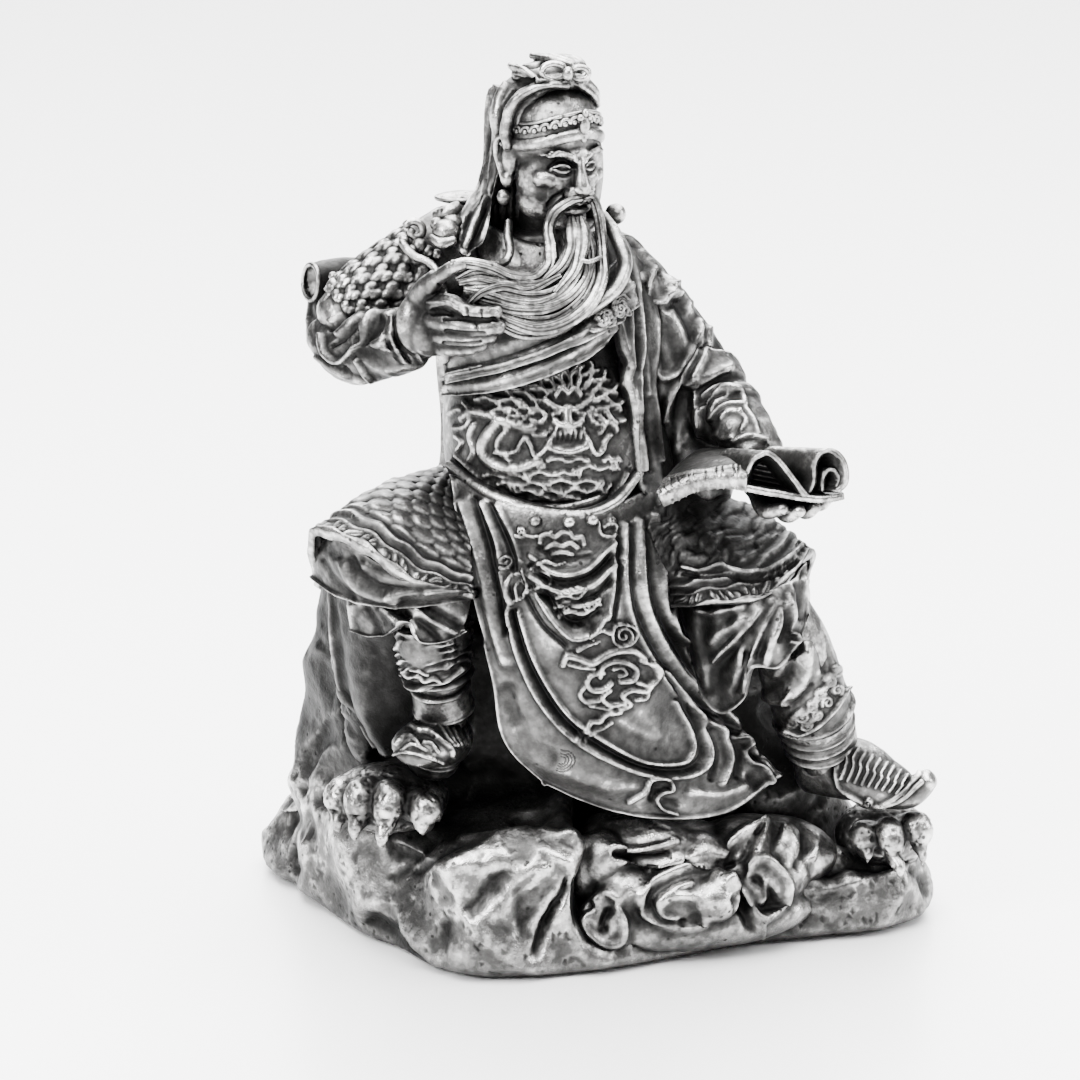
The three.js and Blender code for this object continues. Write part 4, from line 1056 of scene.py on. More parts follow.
finish(limb("left_boot", [(70, 7, 43), (80, 2, 43), (88, -1, 40), (94, -3, 39), (98.5, -4, 42.5)],
            [(7.4, 7.8), (8.6, 8), (8, 6), (6, 4.2), (3.4, 2.6)], 170, 150, relief=left_boot))

# %% [markdown]
# ## The skirts of plates
# A skirt of scale armour lies over each thigh and rolls over the knee. The right one shows rows of
# scales and a twisted border, and the left one is embossed with three-armed plates. Under each,
# the trouser leg is gathered and flares into a wavy hem. The scales are a pattern of u and v, so
# they follow the skirt over the knee, and the trousers' folds are strokes on the front plane.

# %% Build the skirts
def thigh_skirt(name, back, mouth, relief):
    middle = []
    for i, p in enumerate(back):
        x, y, z = between(p, mouth[2 * i], 0.5)
        middle.append((x, y - 1, z + 3))
    return cloth(name, [back, middle, mouth[::2]], 190, 120, 2.2, relief)


def border(u, v, beads):
    v = v + 0.012 * np.sin(u * beads * 1.9)
    rolled = 0.9 * ridge(v, 0.985, 0.018) + 0.6 * ridge(v, 0.89, 0.014) + 1.0 * ridge(v, 0.815, 0.026)
    slant = u * beads + 9 * (v - 0.935) * np.sin(u * beads * 0.8) + 0.25 * np.sin(u * beads * 2.3)
    leaves = (
        0.9 * np.clip(1 - ((slant % 1 - 0.5) / 0.42) ** 2 - ((v - 0.938) / 0.036) ** 2, 0, 1) ** 0.6
    )
    veins = 0.3 * np.cos(2 * math.pi * (2 * slant + 12 * v))
    return rolled + leaves * (0.8 + veins)


def right_skirt(u, v, spots):
    plates = 1.1 * scales(u + 0.25 * v, v, 0.135, 0.085) * ramp(0.77 - v, 0, 0.03)
    return plates + border(u, v, 21) + 0.15 * grain(spots, 4, 2)


LEFT_LINES = [
    line(2.6, 1.2, 684, 566, 700, 570, 720, 566, 740, 574, 762, 572, 784, 562, 800, 548),
    line(2.2, -0.8, 684, 574, 706, 578, 728, 576, 748, 582, 772, 578, 796, 562),
]


def left_skirt(u, v, spots):
    x, y = front(spots)
    sway = 5 * grain(spots, 11, 2)
    leaves = 0.8 * hills((x + 0.5 * y + 2 * sway) / 27, (y + sway) / 17, 1, 1) * ramp(0.78 - v, 0, 0.04)
    return leaves + raised(x, y, LEFT_LINES) + 0.2 * grain(spots, 5, 3) + border(u, v, 19)


finish(thigh_skirt(
    "right_skirt", [(-30, 12, 106), (-26, 2, 121), (-22, -10, 124), (-20, -18, 122), (-18, -25, 116)],
    [(-55, -22, 98), (-58, -32, 108), (-55, -38, 116), (-49, -44, 119), (-43, -49, 116),
     (-37, -52, 112), (-30, -50, 107), (-22, -46, 103), (-16, -40, 100)], right_skirt,
), FINE, -0.25)
finish(thigh_skirt(
    "left_skirt", [(26, -26, 114), (29, -18, 120), (34, -8, 121), (39, 4, 117), (40, 17, 106)],
    [(31, -27, 94), (37, -33, 96), (43, -37, 98), (50, -37, 98.5), (56, -33, 99),
     (62, -26, 102), (67, -16, 105), (70, -6, 101), (67, 0, 92)], left_skirt,
), FINE, -1.2)


def frill(name, top, hem, folds, down=60):
    """Gathered cloth between a top line and a hem, both given as places on the front plane."""
    top, hem = [spot(*p) for p in top], [spot(*p) for p in hem]
    upper = [between(p, q, 0.3) for p, q in zip(top, hem)]
    lower = [between(p, q, 0.7) for p, q in zip(top, hem)]
    upper = [(x, y - 1.4, z) for x, y, z in upper]
    lower = [(x, y - (1.2 if i % 2 else -0.6), z) for i, (x, y, z) in enumerate(lower)]

    def relief(u, v, spots):
        x, y = front(spots)
        slack = 0.35 * np.cos(u * 43 + 5 * v) * (1 - v) + 0.5 * ridge(v, 0.985, 0.03)
        return 0.85 * swell(x, y, folds) + slack + 0.3 * grain(spots, 6, 2)

    return cloth(name, [top, upper, lower, hem], 150, down, 1.4, relief)


LINING_FOLDS = [
    line(5, 1.4, 341, 562, 350, 578, 366, 592, 396, 600),
    line(4, -1.0, 352, 560, 362, 576, 384, 588, 420, 592), line(4, -0.9, 322, 560, 334, 580, 352, 597),
    line(5, 0.8, 366, 566, 392, 578, 440, 584), line(3, 0.9, 388, 594, 430, 592, 474, 590),
    line(6, -0.8, 330, 552, 340, 560),
]


def lining(u, v, spots):
    x, y = front(spots)
    return 0.9 * ridge(v, 0.98, 0.03) + swell(x, y, LINING_FOLDS) + 0.25 * grain(spots, 5, 3)


finish(strip(
    "right_lining",
    [
        (312, 546, 28), (330, 538, 37), (352, 546, 43), (380, 564, 47), (420, 580, 49), (455, 589, 45),
        (478, 592, 34),
    ],
    [
        (312, 576, 25), (332, 592, 34), (352, 601, 39), (380, 605, 43), (415, 605, 46), (448, 600, 44),
        (480, 594, 33),
    ],
    1.5, 1.8, lining, 150, 70,
), FINE, -0.75)

FRILL_FOLDS = [
    line(4, 0.9, 352, 606, 352, 622, 356, 634), line(5, -0.9, 366, 608, 374, 622, 378, 636),
    line(4, 1.2, 384, 608, 394, 618, 402, 624, 406, 632), line(3, -1.2, 402, 614, 410, 622, 411, 636),
    line(3.4, 1.0, 408, 606, 430, 620, 456, 634), line(4, -0.9, 404, 612, 424, 626, 440, 640),
    line(4, -0.8, 430, 606, 450, 618, 466, 626), line(2.2, 0.9, 452, 632, 462, 630, 464, 640, 456, 646),
]
finish(strip(
    "right_frill",
    [
        (346, 598, 33), (362, 602, 38), (380, 605, 41), (400, 605, 43), (420, 604, 44), (440, 602, 43),
        (458, 598, 40), (472, 595, 35),
    ],
    [
        (354, 629, 34), (366, 636, 38), (384, 636, 42), (398, 628, 46), (411, 622, 48), (418, 641, 45),
        (440, 643, 44), (464, 632, 40),
    ],
    0.5, 1.4,
    lambda u, v, spots: 0.7 * ridge(v, 0.985, 0.03) + swell(
        *front(spots), FRILL_FOLDS,
    ) + 0.25 * grain(spots, 5, 3),
    140, 60,
), FINE, -0.5)
finish(frill(
    "left_frill",
    [
        (676, 600, 22), (694, 599, 27), (712, 600, 31), (730, 600, 34), (748, 598, 35), (764, 593, 34),
        (780, 586, 32), (796, 578, 28), (806, 562, 21),
    ],
    [
        (692, 664, 20), (705, 700, 23), (723, 714, 26), (745, 698, 31), (753, 669, 34), (778, 668, 35),
        (792, 652, 34), (800, 636, 31), (808, 616, 27),
    ],
    [
        line(4, 1.3, 700, 610, 712, 612, 742, 606),
        line(4, 1.5, 715, 660, 735, 640, 752, 622, 770, 600),
        line(6, 1.3, 712, 640, 722, 632, 745, 618),
        line(4, 1.4, 745, 690, 748, 668, 760, 640, 778, 604),
        line(4, 1.5, 766, 662, 772, 640, 784, 604), line(3.4, 1.2, 788, 632, 794, 616, 788, 596),
        line(4, -1.2, 726, 658, 748, 634, 766, 604), line(3, -1.2, 757, 655, 766, 630, 778, 606),
        line(6, -0.9, 710, 690, 716, 672, 730, 655), line(3, -1.0, 780, 640, 784, 622, 782, 604),
        line(1.8, 1.0, 790, 632, 797, 634, 797, 642, 790, 642),
        line(3, 1.0, 812, 620, 808, 600, 804, 580), line(3, -0.9, 800, 618, 800, 600, 796, 584),
        line(3, -1.0, 735, 690, 742, 672, 748, 655),
    ],
    110,
), FINE, -0.35)

# %% [markdown]
# ## The front of the robe
# Below the belt the robe falls between the legs in one long front, with a lapel down each side, an
# inner panel and a hem that curls. The folds are broad soft strokes, and the ornaments lie on top:
# wisps and banks of cloud.

# %% Build the robe's front
ROBE_ROWS = [
    [(-22, -20, 126), (-10, -31, 123), (5, -35.4, 121), (17, -31.5, 121), (29, -18, 123)],
    [(-18, -32, 106), (-6, -38, 104), (8, -40, 102), (21, -37, 102), (32, -26, 103)],
    [(-12, -33, 79), (-1, -37, 79), (12, -38, 80), (25, -34, 80), (36, -20, 82)],
    [(-9, -32, 62), (3, -34, 58), (17, -34, 56), (33, -25, 56), (47, -9, 62)],
    [(1, -29, 50), (13, -29, 44.5), (28, -27, 40), (46, -18, 38), (61, -3, 43)],
]
ROBE_FOLDS = [
    line(7, 1.8, 462, 505, 475, 545, 486, 590, 496, 630, 506, 660),
    line(3, -1.3, 474, 500, 488, 545, 499, 590, 507, 632),
    line(3, 1.2, 482, 503, 497, 543, 507, 590, 511, 622), line(2.6, -1.0, 490, 505, 508, 545, 515, 570),
    line(3, 1.0, 497, 505, 514, 540, 520, 560), line(2.4, -0.8, 452, 520, 464, 565, 474, 610, 484, 640),
    line(
        3, 1.4, 507, 610, 516, 648, 532, 688, 556, 722, 590, 750, 640, 773, 684, 777, 708, 764, 708,
        738, 692, 705, 668, 672,
    ),
    line(
        2.4, -1.2, 513, 612, 523, 648, 540, 686, 564, 720, 596, 745, 642, 767, 682, 770, 701, 758, 700,
        735, 686, 706, 664, 674,
    ),
    line(
        2.6, 1.2, 519, 612, 530, 648, 547, 684, 571, 717, 602, 740, 645, 762, 682, 763, 693, 750, 690,
        730, 676, 702,
    ),
    line(8, -1.4, 506, 690, 514, 716, 530, 742, 552, 760),
    line(8, 0.9, 520, 730, 548, 760, 590, 780, 640, 786), line(2.6, 1.2, 612, 535, 614, 580, 608, 618),
    line(2.2, -1.0, 618, 530, 619, 585, 614, 622),
    line(2.8, 1.3, 625, 525, 626, 590, 636, 630, 660, 672, 695, 712, 735, 738),
    line(2.4, -1.2, 632, 525, 634, 590, 645, 628, 668, 668, 702, 706, 740, 730),
    line(4, 1.6, 639, 522, 643, 590, 654, 626, 678, 666, 712, 702, 746, 728),
    line(2.6, -1.4, 647, 520, 653, 575, 660, 612, 676, 645, 700, 680, 730, 708),
    line(4.5, 1.5, 656, 516, 663, 550, 664, 590, 668, 618, 682, 640),
    line(2, -0.8, 664, 520, 671, 550, 672, 585, 668, 605),
    line(2.2, 1.3, 671, 530, 677, 555, 677, 582, 671, 606, 673, 630, 690, 648),
    line(18, -1.2, 600, 722, 640, 740, 672, 745, 668, 715), line(6, 0.5, 600, 700, 625, 725, 655, 738),
    line(4, 1.5, 712, 712, 724, 735, 730, 760, 722, 782), line(3, -1.2, 706, 728, 716, 752, 712, 778),
    line(4, -1.3, 726, 728, 738, 750, 738, 775), line(4, 0.9, 690, 792, 720, 794, 745, 786),
    line(3, 1.4, 530, 556, 556, 574, 586, 570, 612, 545),
    line(2.4, -1.2, 530, 566, 558, 583, 590, 577, 613, 556),
    line(3, 1.3, 530, 576, 560, 592, 592, 586, 613, 566),
    line(2.6, -1.1, 530, 588, 562, 604, 594, 597, 612, 580),
    line(3.4, 1.4, 536, 592, 552, 618, 573, 638, 594, 632, 608, 612),
    line(3, -1.3, 546, 594, 562, 616, 578, 626, 598, 612),
    line(2.6, -1.0, 526, 596, 542, 624, 566, 646), line(6, -1.4, 575, 622, 588, 626),
    line(3, -0.8, 540, 548, 560, 560, 590, 556), line(8, 0.8, 636, 800, 648, 792),
    line(5, -1.4, 655, 789, 652, 797), line(4, -0.8, 665, 801, 675, 803),
    line(4, -1.3, 755, 752, 760, 756), line(6, -0.9, 752, 776, 758, 784),
    line(8, 0.8, 500, 560, 512, 580),
]
ROBE_ORNAMENT = [
    line(
        3.2, 0.9, 540, 543, 541, 536, 549, 534, 555, 537, 562, 532, 570, 533, 574, 538, 582, 537, 584,
        544,
    ),
    line(3.2, 0.9, 545, 549, 554, 544, 562, 546, 570, 543, 578, 548),
    line(3, 0.8, 552, 555, 562, 552, 572, 555), line(2, 0.9, 519, 528, 527, 536, 540, 536, 552, 532),
    scroll(521, 532, 6, 1.0, 1, 1.7, 0.9),
    line(1.8, 1.0, 598, 522, 601, 534, 611, 537, 617, 530, 612, 523, 604, 527),
    scroll(611, 521, 4, 0, 1, 1.5, 0.9), lick(3, 1.1, 532, 568, 545, 561, 556, 565, 566, 562),
    scroll(507, 561, 7, 0.5, 1, 1.9, 1.2), lick(3, 1.1, 512, 602, 508, 588, 512, 575, 524, 574),
    lick(2.6, 1.1, 518, 598, 516, 586, 524, 578), lick(2.4, 1.0, 524, 594, 527, 586, 520, 580),
    line(1.5, 1.0, 503, 572, 510, 600, 528, 592, 522, 570),
    lick(2.4, 1.0, 534, 570, 548, 575, 550, 584, 536, 584),
    lick(2.2, 0.9, 528, 590, 545, 586, 560, 590, 580, 586),
    lick(2.6, 1.1, 556, 598, 566, 595, 578, 598, 586, 588, 578, 586),
    line(2, 1.1, 552, 601, 562, 606, 576, 603, 588, 605, 599, 598, 597, 604, 588, 610),
    line(3, 1.0, 556, 608, 566, 603, 578, 606, 590, 601, 600, 604),
    line(2.8, 1.0, 560, 616, 570, 611, 582, 614, 594, 608), scroll(566, 609, 4, 1, 1, 1.4, 0.8),
    scroll(586, 606, 4, 0, -1, 1.4, 0.8), scroll(623, 635, 10, 0.0, 1, 1.7, 1.1),
    line(
        1.8, 1.1, 612, 633, 615, 626, 623, 624, 632, 627, 635, 635, 631, 643, 622, 646, 614, 642, 612,
        633,
    ),
    lick(2.8, 1.1, 610, 633, 600, 630, 590, 636, 596, 642), lick(3, 1.2, 578, 650, 590, 644, 600, 642),
    line(4.4, 1.2, 563, 664, 567, 656, 578, 658, 592, 663, 604, 656, 616, 651, 634, 651, 643, 658),
    line(3, 1.0, 570, 664, 582, 667, 594, 668),
    line(3.6, 1.2, 600, 676, 603, 666, 614, 661, 627, 663, 636, 670, 632, 680, 620, 681),
    line(3.6, 1.2, 640, 660, 652, 666, 657, 677, 648, 685, 637, 682),
    line(3.6, 1.2, 603, 672, 593, 674, 587, 681, 592, 690, 604, 689, 611, 683),
    line(2.4, 1.1, 613, 669, 621, 667, 626, 673, 619, 676),
    line(3.4, 1.1, 652, 684, 645, 691, 631, 690, 622, 696, 630, 704, 620, 709),
    line(3.4, 1.1, 610, 690, 602, 697, 610, 705, 624, 703),
    line(2.4, 0.9, 636, 700, 646, 698, 648, 690),
    line(3.6, 1.1, 620, 712, 607, 715, 601, 723, 592, 723, 587, 730, 579, 738),
    line(2.6, 1.0, 612, 724, 602, 730, 592, 732, 586, 740),
    line(3, 1.0, 585, 686, 580, 694, 586, 702, 598, 700), line(2.4, 0.9, 590, 706, 600, 708, 612, 710),
    line(
        2.2, 1.5, 628, 800, 642, 790, 650, 779, 661, 777, 670, 783, 671, 790, 662, 792, 656, 799, 662,
        808, 676, 813,
    ),
    line(
        2.0, 1.4, 738, 737, 747, 737, 750, 744, 744, 752, 750, 762, 762, 766, 770, 776, 768, 790, 757,
        800,
    ),
    *(
        stroke(
            [(561 + r * math.cos(a), 760 + 0.7 * r * math.sin(a)) for a in np.linspace(-1.6, 1.9, 9)],
            0.7, -0.25,
        )
        for r in (5, 8, 11, 14)
    ),
]


def robe_relief(u, v, spots):
    x, y = front(spots)
    edge = 0.7 * (ridge(u, 0.01, 0.01) + ridge(u, 0.99, 0.01)) + 0.9 * ridge(v, 0.992, 0.009)
    return swell(x, y, ROBE_FOLDS) + raised(x, y, ROBE_ORNAMENT) + edge + 0.18 * grain(spots, 9, 3)


finish(cloth("robe_front", ROBE_ROWS, 215, 195, 3.2, robe_relief))
finish(limb(
    "lap", [(4, 0, 118), (8, -10, 96), (14, -10, 74), (20, -6, 56)],
    [(26, 20), (20, 18), (20, 14), (20, 10)], 60, 60, up=(0, 1, 0),
))

# %% [markdown]
# ## The torso
# The breast and belly are one barrel under a plate embossed with a dragon's mask. Its flaming mane,
# whiskers and coils are strokes on the front plane, over banks of cloud. Each lock of the mane
# waves once on its way out, every other one to the other side.

# %% Build the torso
def strand(base, tip, sway, width, height):
    """A lock of mane that leaves its base, waves once and thins to its tip."""
    dx, dy = tip[0] - base[0], tip[1] - base[1]
    points = []
    for i in range(6):
        side = sway * math.sin(2 * math.pi * i / 5)
        points.append((base[0] + dx * i / 5 - dy * side, base[1] + dy * i / 5 + dx * side))
    return stroke(points, [width * part for part in (0.7, 0.9, 1, 1, 0.95, 0.75)], height)


MANE = [
    (520, 381), (529, 373), (536, 368), (545, 363), (552, 366), (560, 359), (568, 364), (576, 359),
    (583, 366), (591, 363), (598, 370), (605, 371), (609, 380), (617, 384), (616, 394), (624, 400),
    (620, 410), (624, 420), (617, 430),
]
BELLY = [
    *(
        strand(
            (568 + 0.42 * (x - 568), 404 + 0.42 * (y - 404)), (x, y), -0.13 if i % 2 else 0.1, 3.3, 1.3,
        )
        for i, (x, y) in enumerate(MANE)
    ),
    *(
        strand((540 - 3 * i, 401 + 3.5 * i), tip, 0.1 if i % 2 else -0.1, 3.1, 1.1)
        for i, tip in enumerate(
            [(514, 378), (500, 378), (494, 388), (481, 388), (476, 399), (464, 402), (464, 413)]
        )
    ),
    line(4.0, 1.6, 545, 400, 554, 406, 562, 409, 568, 407, 574, 409, 582, 405, 591, 398),
    line(3.4, 1.4, 556, 395, 562, 388, 568, 393, 574, 388, 580, 395),
    line(6, 1.7, 568, 408, 567, 416, 568, 421), line(4.2, 1.6, 555, 421, 562, 425, 574, 425, 581, 421),
    line(3.6, 1.5, 553, 414, 558, 413), line(3.6, 1.5, 578, 413, 583, 414),
    line(3.0, 1.2, 530, 414, 538, 410, 546, 415, 540, 422, 531, 420),
    line(3.4, 1.2, 588, 412, 598, 416, 604, 424, 600, 432), line(6, -0.9, 552, 434, 568, 438, 584, 434),
    *(stroke([(555 + 5.2 * i, 431), (555 + 5.2 * i, 436)], 2.8, 1.3) for i in range(6)),
    line(4, 1.2, 548, 446, 558, 450, 572, 451, 586, 446), line(2.6, 1.0, 534, 434, 544, 434, 552, 430),
    line(
        2.7, 1.3, 556, 430, 550, 440, 543, 451, 535, 455, 531, 445, 526, 438, 521, 442, 517, 450, 507,
        453, 496, 452,
    ),
    line(2.8, 1.3, 583, 430, 589, 442, 595, 454, 602, 450, 605, 440, 610, 435),
    line(5.6, 1.2, 500, 420, 488, 432, 482, 446, 487, 460, 502, 468, 520, 468, 538, 461),
    line(2.8, 0.8, 508, 428, 498, 440, 499, 452, 510, 460),
    line(3, 0.9, 474, 424, 470, 436, 474, 450, 470, 460),
    line(4.4, 1.1, 463, 418, 470, 412, 482, 413, 494, 416, 506, 420, 520, 427, 534, 428),
    line(2.8, 0.7, 450, 414, 457, 409, 466, 412, 470, 420, 464, 427, 454, 428),
    line(2.8, 0.6, 456, 436, 462, 442, 458, 450),
    *(
        stroke(
            [
                (x, y), (x + 0.25 * long, y - 2.6), (x + 0.5 * long, y + 0.8),
                (x + 0.75 * long, y - 2.2), (x + long, y + 0.6),
            ],
            2.8, 0.75,
        )
        for x, y, long in (
            (484, 476, 40), (530, 474, 44), (580, 468, 38), (498, 484, 46), (550, 482, 48),
            (604, 460, 16), (516, 492, 44), (566, 491, 40), (530, 499, 50), (548, 460, 40),
        )
    ),
    *(
        scroll(x, y, 4.6, i * 0.9, 1 if i % 2 else -1, 2.2, 0.8, 1.0)
        for i, (x, y) in enumerate(
            [
                (526, 476), (576, 472), (548, 485), (600, 482), (512, 488), (562, 494), (612, 466),
                (540, 466),
            ]
        )
    ),
]
BELLY_LINES = [
    line(
        2.2, 1.3, 453, 461, 474, 483, 492, 496, 513, 506, 540, 512, 566, 514, 596, 507, 616, 489, 626,
        472,
    ),
    line(1.6, 0.6, 455, 455, 478, 477, 496, 489, 516, 499, 542, 505, 566, 507, 594, 500, 611, 484),
    line(4.0, -1.0, 458, 470, 474, 490, 492, 503, 512, 513, 540, 519, 568, 521, 598, 514),
]


def torso_relief(u, t, spots):
    x, y = front(spots)
    shown = ramp(-spots[:, 1], 6, 14)
    cloth_folds = 0.8 * np.cos(10 * math.pi * u) * ramp(spots[:, 1], 2, 12)
    return (
        (raised(x, y, BELLY) + raised(x, y, BELLY_LINES)) * shown + cloth_folds
        + 0.12 * grain(spots, 4, 2)
    )


finish(limb(
    "torso",
    [(4, 4, 106), (3, -4, 120), (3, -6, 136), (3, -4, 152), (3, -1, 166), (2, 1, 177), (1, 0, 184)],
    [(27, 21), (26, 24), (27, 26), (25.5, 21), (25, 17), (20, 13), (9, 9)], 480, 215, up=(0, 1, 0),
    relief=torso_relief, bulge=0.1,
))

# %% [markdown]
# Folded bands cross the chest above the plate, from under the right arm to the left shoulder, and
# a rolled lapel runs down beside the beard. The belt is a thin cord with a fold of sash inside it.
# It could be cut from the torso's own relief, but as a piece it keeps its shadow.

# %% Build the collar and the belt
def rolled(u, v, spots):
    return 0.7 * ridge(v, 0.95, 0.08) + 0.5 * ridge(v, 0.06, 0.08) + 0.35 * grain(spots, 9, 3)


BROCADE = [
    *cloud(604, 318, 9, 7, 0.3, 0.9, 1.5), *cloud(619, 308, 8, 8, 1.9, 0.9, 1.5),
    lick(2.4, 0.9, 592, 330, 606, 326, 622, 318), lick(2.4, 0.9, 598, 338, 610, 334, 620, 326),
    lick(2.4, 0.9, 612, 300, 622, 296, 630, 300),
]


def brocaded(u, v, spots):
    x, y = front(spots)
    return rolled(u, v, spots) + raised(x, y, BROCADE)


finish(strip(
    "collar_inner", [(452, 338, 22), (500, 326, 31), (548, 310, 34), (592, 282, 30), (618, 258, 20)],
    [(446, 374, 22), (500, 362, 32), (550, 344, 35), (600, 316, 31), (634, 284, 20)], 1.5, 2.5, rolled,
))
finish(strip(
    "collar_upper", [(444, 364, 19), (500, 352, 31), (552, 334, 34.5), (602, 306, 31), (634, 284, 20)],
    [(446, 382, 20), (503, 370, 32.5), (554, 353, 35.5), (606, 330, 31), (638, 304, 19)], 2.2, 2.5,
    brocaded,
))
finish(strip(
    "collar_lower",
    [(441, 377, 18), (498, 368, 30.5), (550, 352, 33.5), (598, 328, 30), (636, 306, 19)],
    [(442, 395, 18), (488, 392, 30), (538, 379, 33), (578, 362, 31.5), (604, 346, 28)], 1.6, 2.5,
    rolled,
))
collar = [
    limb(
        "lapel",
        [
            spot(603, 216, 14), spot(616, 236, 20), spot(625, 262, 25), spot(617, 286, 30),
            spot(600, 302, 34), spot(585, 315, 36),
        ],
        [(1.4, 1.4), (1.7, 2.2), (1.8, 2.6), (1.7, 2.4), (1.6, 2), (1, 1.2)], 30, 120, up=(0, 1, 0),
    ),
    limb(
        "belt", [(-22, -18, 128), (-11, -29, 123), (6, -33.6, 119.4), (17, -30, 121), (24, -22, 127)],
        [(1.3, 1.3), (1.6, 1.5), (1.6, 1.5), (1.6, 1.5), (1.3, 1.3)], 40, 140,
        relief=lambda u, t, spots: 0.2 * np.cos(4 * math.pi * u),
    ),
    limb(
        "sash",
        [
            (-18, -20, 125.5), (-9, -26, 121.5), (1, -28.5, 119), (10, -28, 119.4), (17, -24, 121.4),
            (22, -18, 125),
        ],
        [(2, 2.4), (2.4, 2.8), (2.6, 3), (2.6, 3), (2.4, 3), (2, 2.4)], 50, 140,
        relief=lambda u, t, spots: 0.35 * np.cos(8 * math.pi * u + 5 * t) + 0.3 * grain(spots, 6, 2),
    ),
    *(
        lump("stud", spot(*place), (1.5, 1.4, 1.4))
        for place in ((535, 521, 36), (569, 522, 38), (592, 520, 36))
    ),
]
finish(join("collar_and_belt", collar))

# %% [markdown]
# ## The mantle and the cape
# The mantle hangs over the left side in long folds, and a cape falls behind. Both are cloth through
# a few rows of points, because a net keeps such folds running in one direction.

# %% Build the mantle and the cape
MANTLE_ROWS = [
    [(10, -16, 185), (15, -13, 185), (20, -6, 183), (24, 3, 179)],
    [(19, -25, 166), (23, -20, 166), (27, -12, 165), (30, -2, 162)],
    [(23, -26, 145), (27, -20, 144), (30, -12, 143), (32, -2, 142)],
    [(25, -23, 122), (30, -18, 118), (34, -10, 114), (36, 0, 112)],
]
CAPE_ROWS = [
    [(22, 4, 180), (15, 12, 184), (0, 15, 186), (-16, 13, 184), (-26, 4, 181)],
    [(34, 12, 152), (20, 24, 154), (0, 27, 154), (-17, 24, 154), (-25.5, 10, 154)],
    [(38, 18, 118), (22, 31, 120), (0, 34, 120), (-17, 32, 120), (-24.5, 16, 118)],
    [(42, 30, 88), (24, 48, 86), (0, 54, 86), (-24, 50, 86), (-44, 34, 88)],
]


MANTLE_FOLDS = [
    line(2.4, 1.3, 606, 222, 624, 246, 636, 280, 642, 330, 640, 400, 646, 470),
    line(2.2, -1.3, 612, 222, 631, 246, 643, 280, 648, 330, 646, 400, 652, 470),
    line(2.2, 1.1, 624, 228, 642, 256, 652, 290, 655, 340, 654, 400, 660, 460),
    line(2.6, 1.2, 620, 262, 630, 300, 632, 350, 626, 400, 630, 460),
    line(2.2, -0.9, 626, 262, 636, 300, 637, 350, 632, 400),
    line(5, -0.8, 634, 310, 639, 335, 638, 370), line(4, -0.8, 648, 400, 640, 440, 644, 480),
]


def mantle_relief(u, v, spots):
    x, y = front(spots)
    return (
        0.5 * np.cos(u * 6 * math.pi) * (0.6 + 0.4 * v) + swell(x, y, MANTLE_FOLDS)
        + 0.25 * grain(spots, 7, 3)
    )


def cape_relief(u, v, spots):
    sway = u + 0.02 * np.sin(5 * v)
    return (
        1.8 * np.cos(sway * 10 * math.pi) * (0.3 + 0.9 * v) + 0.7 * np.cos(sway * 23 * math.pi + 2) * v
        + 0.3 * grain(spots, 9, 3)
    )


finish(cloth("mantle", MANTLE_ROWS, 90, 170, 3.6, mantle_relief), FINE, -0.9)
finish(cloth("cape", CAPE_ROWS, 170, 120, 5.5, cape_relief))

# %% [markdown]
# ## The right arm
# The arm is raised to the beard. Its upper sleeve is scale armour, and the cloth at the elbow is
# turned back in soft folds. Scales are a pattern of u and t along the tube, so they follow its bend.

# %% Build the right arm
def right_scales(u, t, spots):
    rows = 1.0 * hills(u, t, 1 / 12, 1 / 9) * ramp(0.94 - t, 0, 0.03) * ramp(t, 0.2, 0.24)
    return rows + 0.1 * grain(spots, 3, 2)


finish(limb(
    "right_sleeve", [(-20, 0, 178), (-31, -3, 172.5), (-42, -7, 167), (-49, -9, 162)],
    [(11.5, 10), (10.5, 10.5), (9, 9), (7, 7.5)], 300, 200, up=(0, 1, 0), relief=right_scales,
))

SLEEVE_FOLDS = [
    line(3.4, 1.6, 322, 336, 325, 352, 340, 361, 356, 345, 364, 327, 379, 309, 399, 303),
    line(3.6, 1.4, 331, 324, 342, 316, 354, 310), line(3.6, 1.3, 338, 334, 352, 322, 368, 311),
    line(3.0, -1.0, 332, 346, 344, 338, 360, 322), line(2.4, -0.9, 330, 330, 346, 321, 362, 311),
    line(9, -1.8, 360, 340, 372, 330, 380, 322), line(10, -1.6, 366, 352, 380, 360, 396, 360),
    line(3, 1.2, 318, 356, 340, 372, 366, 380), line(2.6, 1.2, 356, 360, 366, 374, 374, 382),
    line(3, -0.8, 345, 368, 352, 376), line(5, 1.2, 374, 345, 384, 340, 392, 332),
    line(2.2, 1.3, 391, 318, 392, 341, 404, 362), line(2.4, 1.4, 398, 316, 406, 340, 419, 360),
    line(1.8, -0.9, 395, 318, 398, 341, 410, 362), line(2.6, -0.8, 385, 318, 386, 338, 396, 358),
    line(2.2, 1.0, 404, 314, 413, 336, 428, 356), line(5, 0.8, 310, 320, 312, 340, 320, 352),
]


def sleeve_skin(spots, normals):
    x, y = front(spots)
    near = ramp(-normals[:, 1] + 0.25 * normals[:, 2], 0.0, 0.3)
    return raised(x, y, SLEEVE_FOLDS) * near + 0.45 * grain(spots, 9, 3) + 0.06 * grain(spots, 1.6, 2)


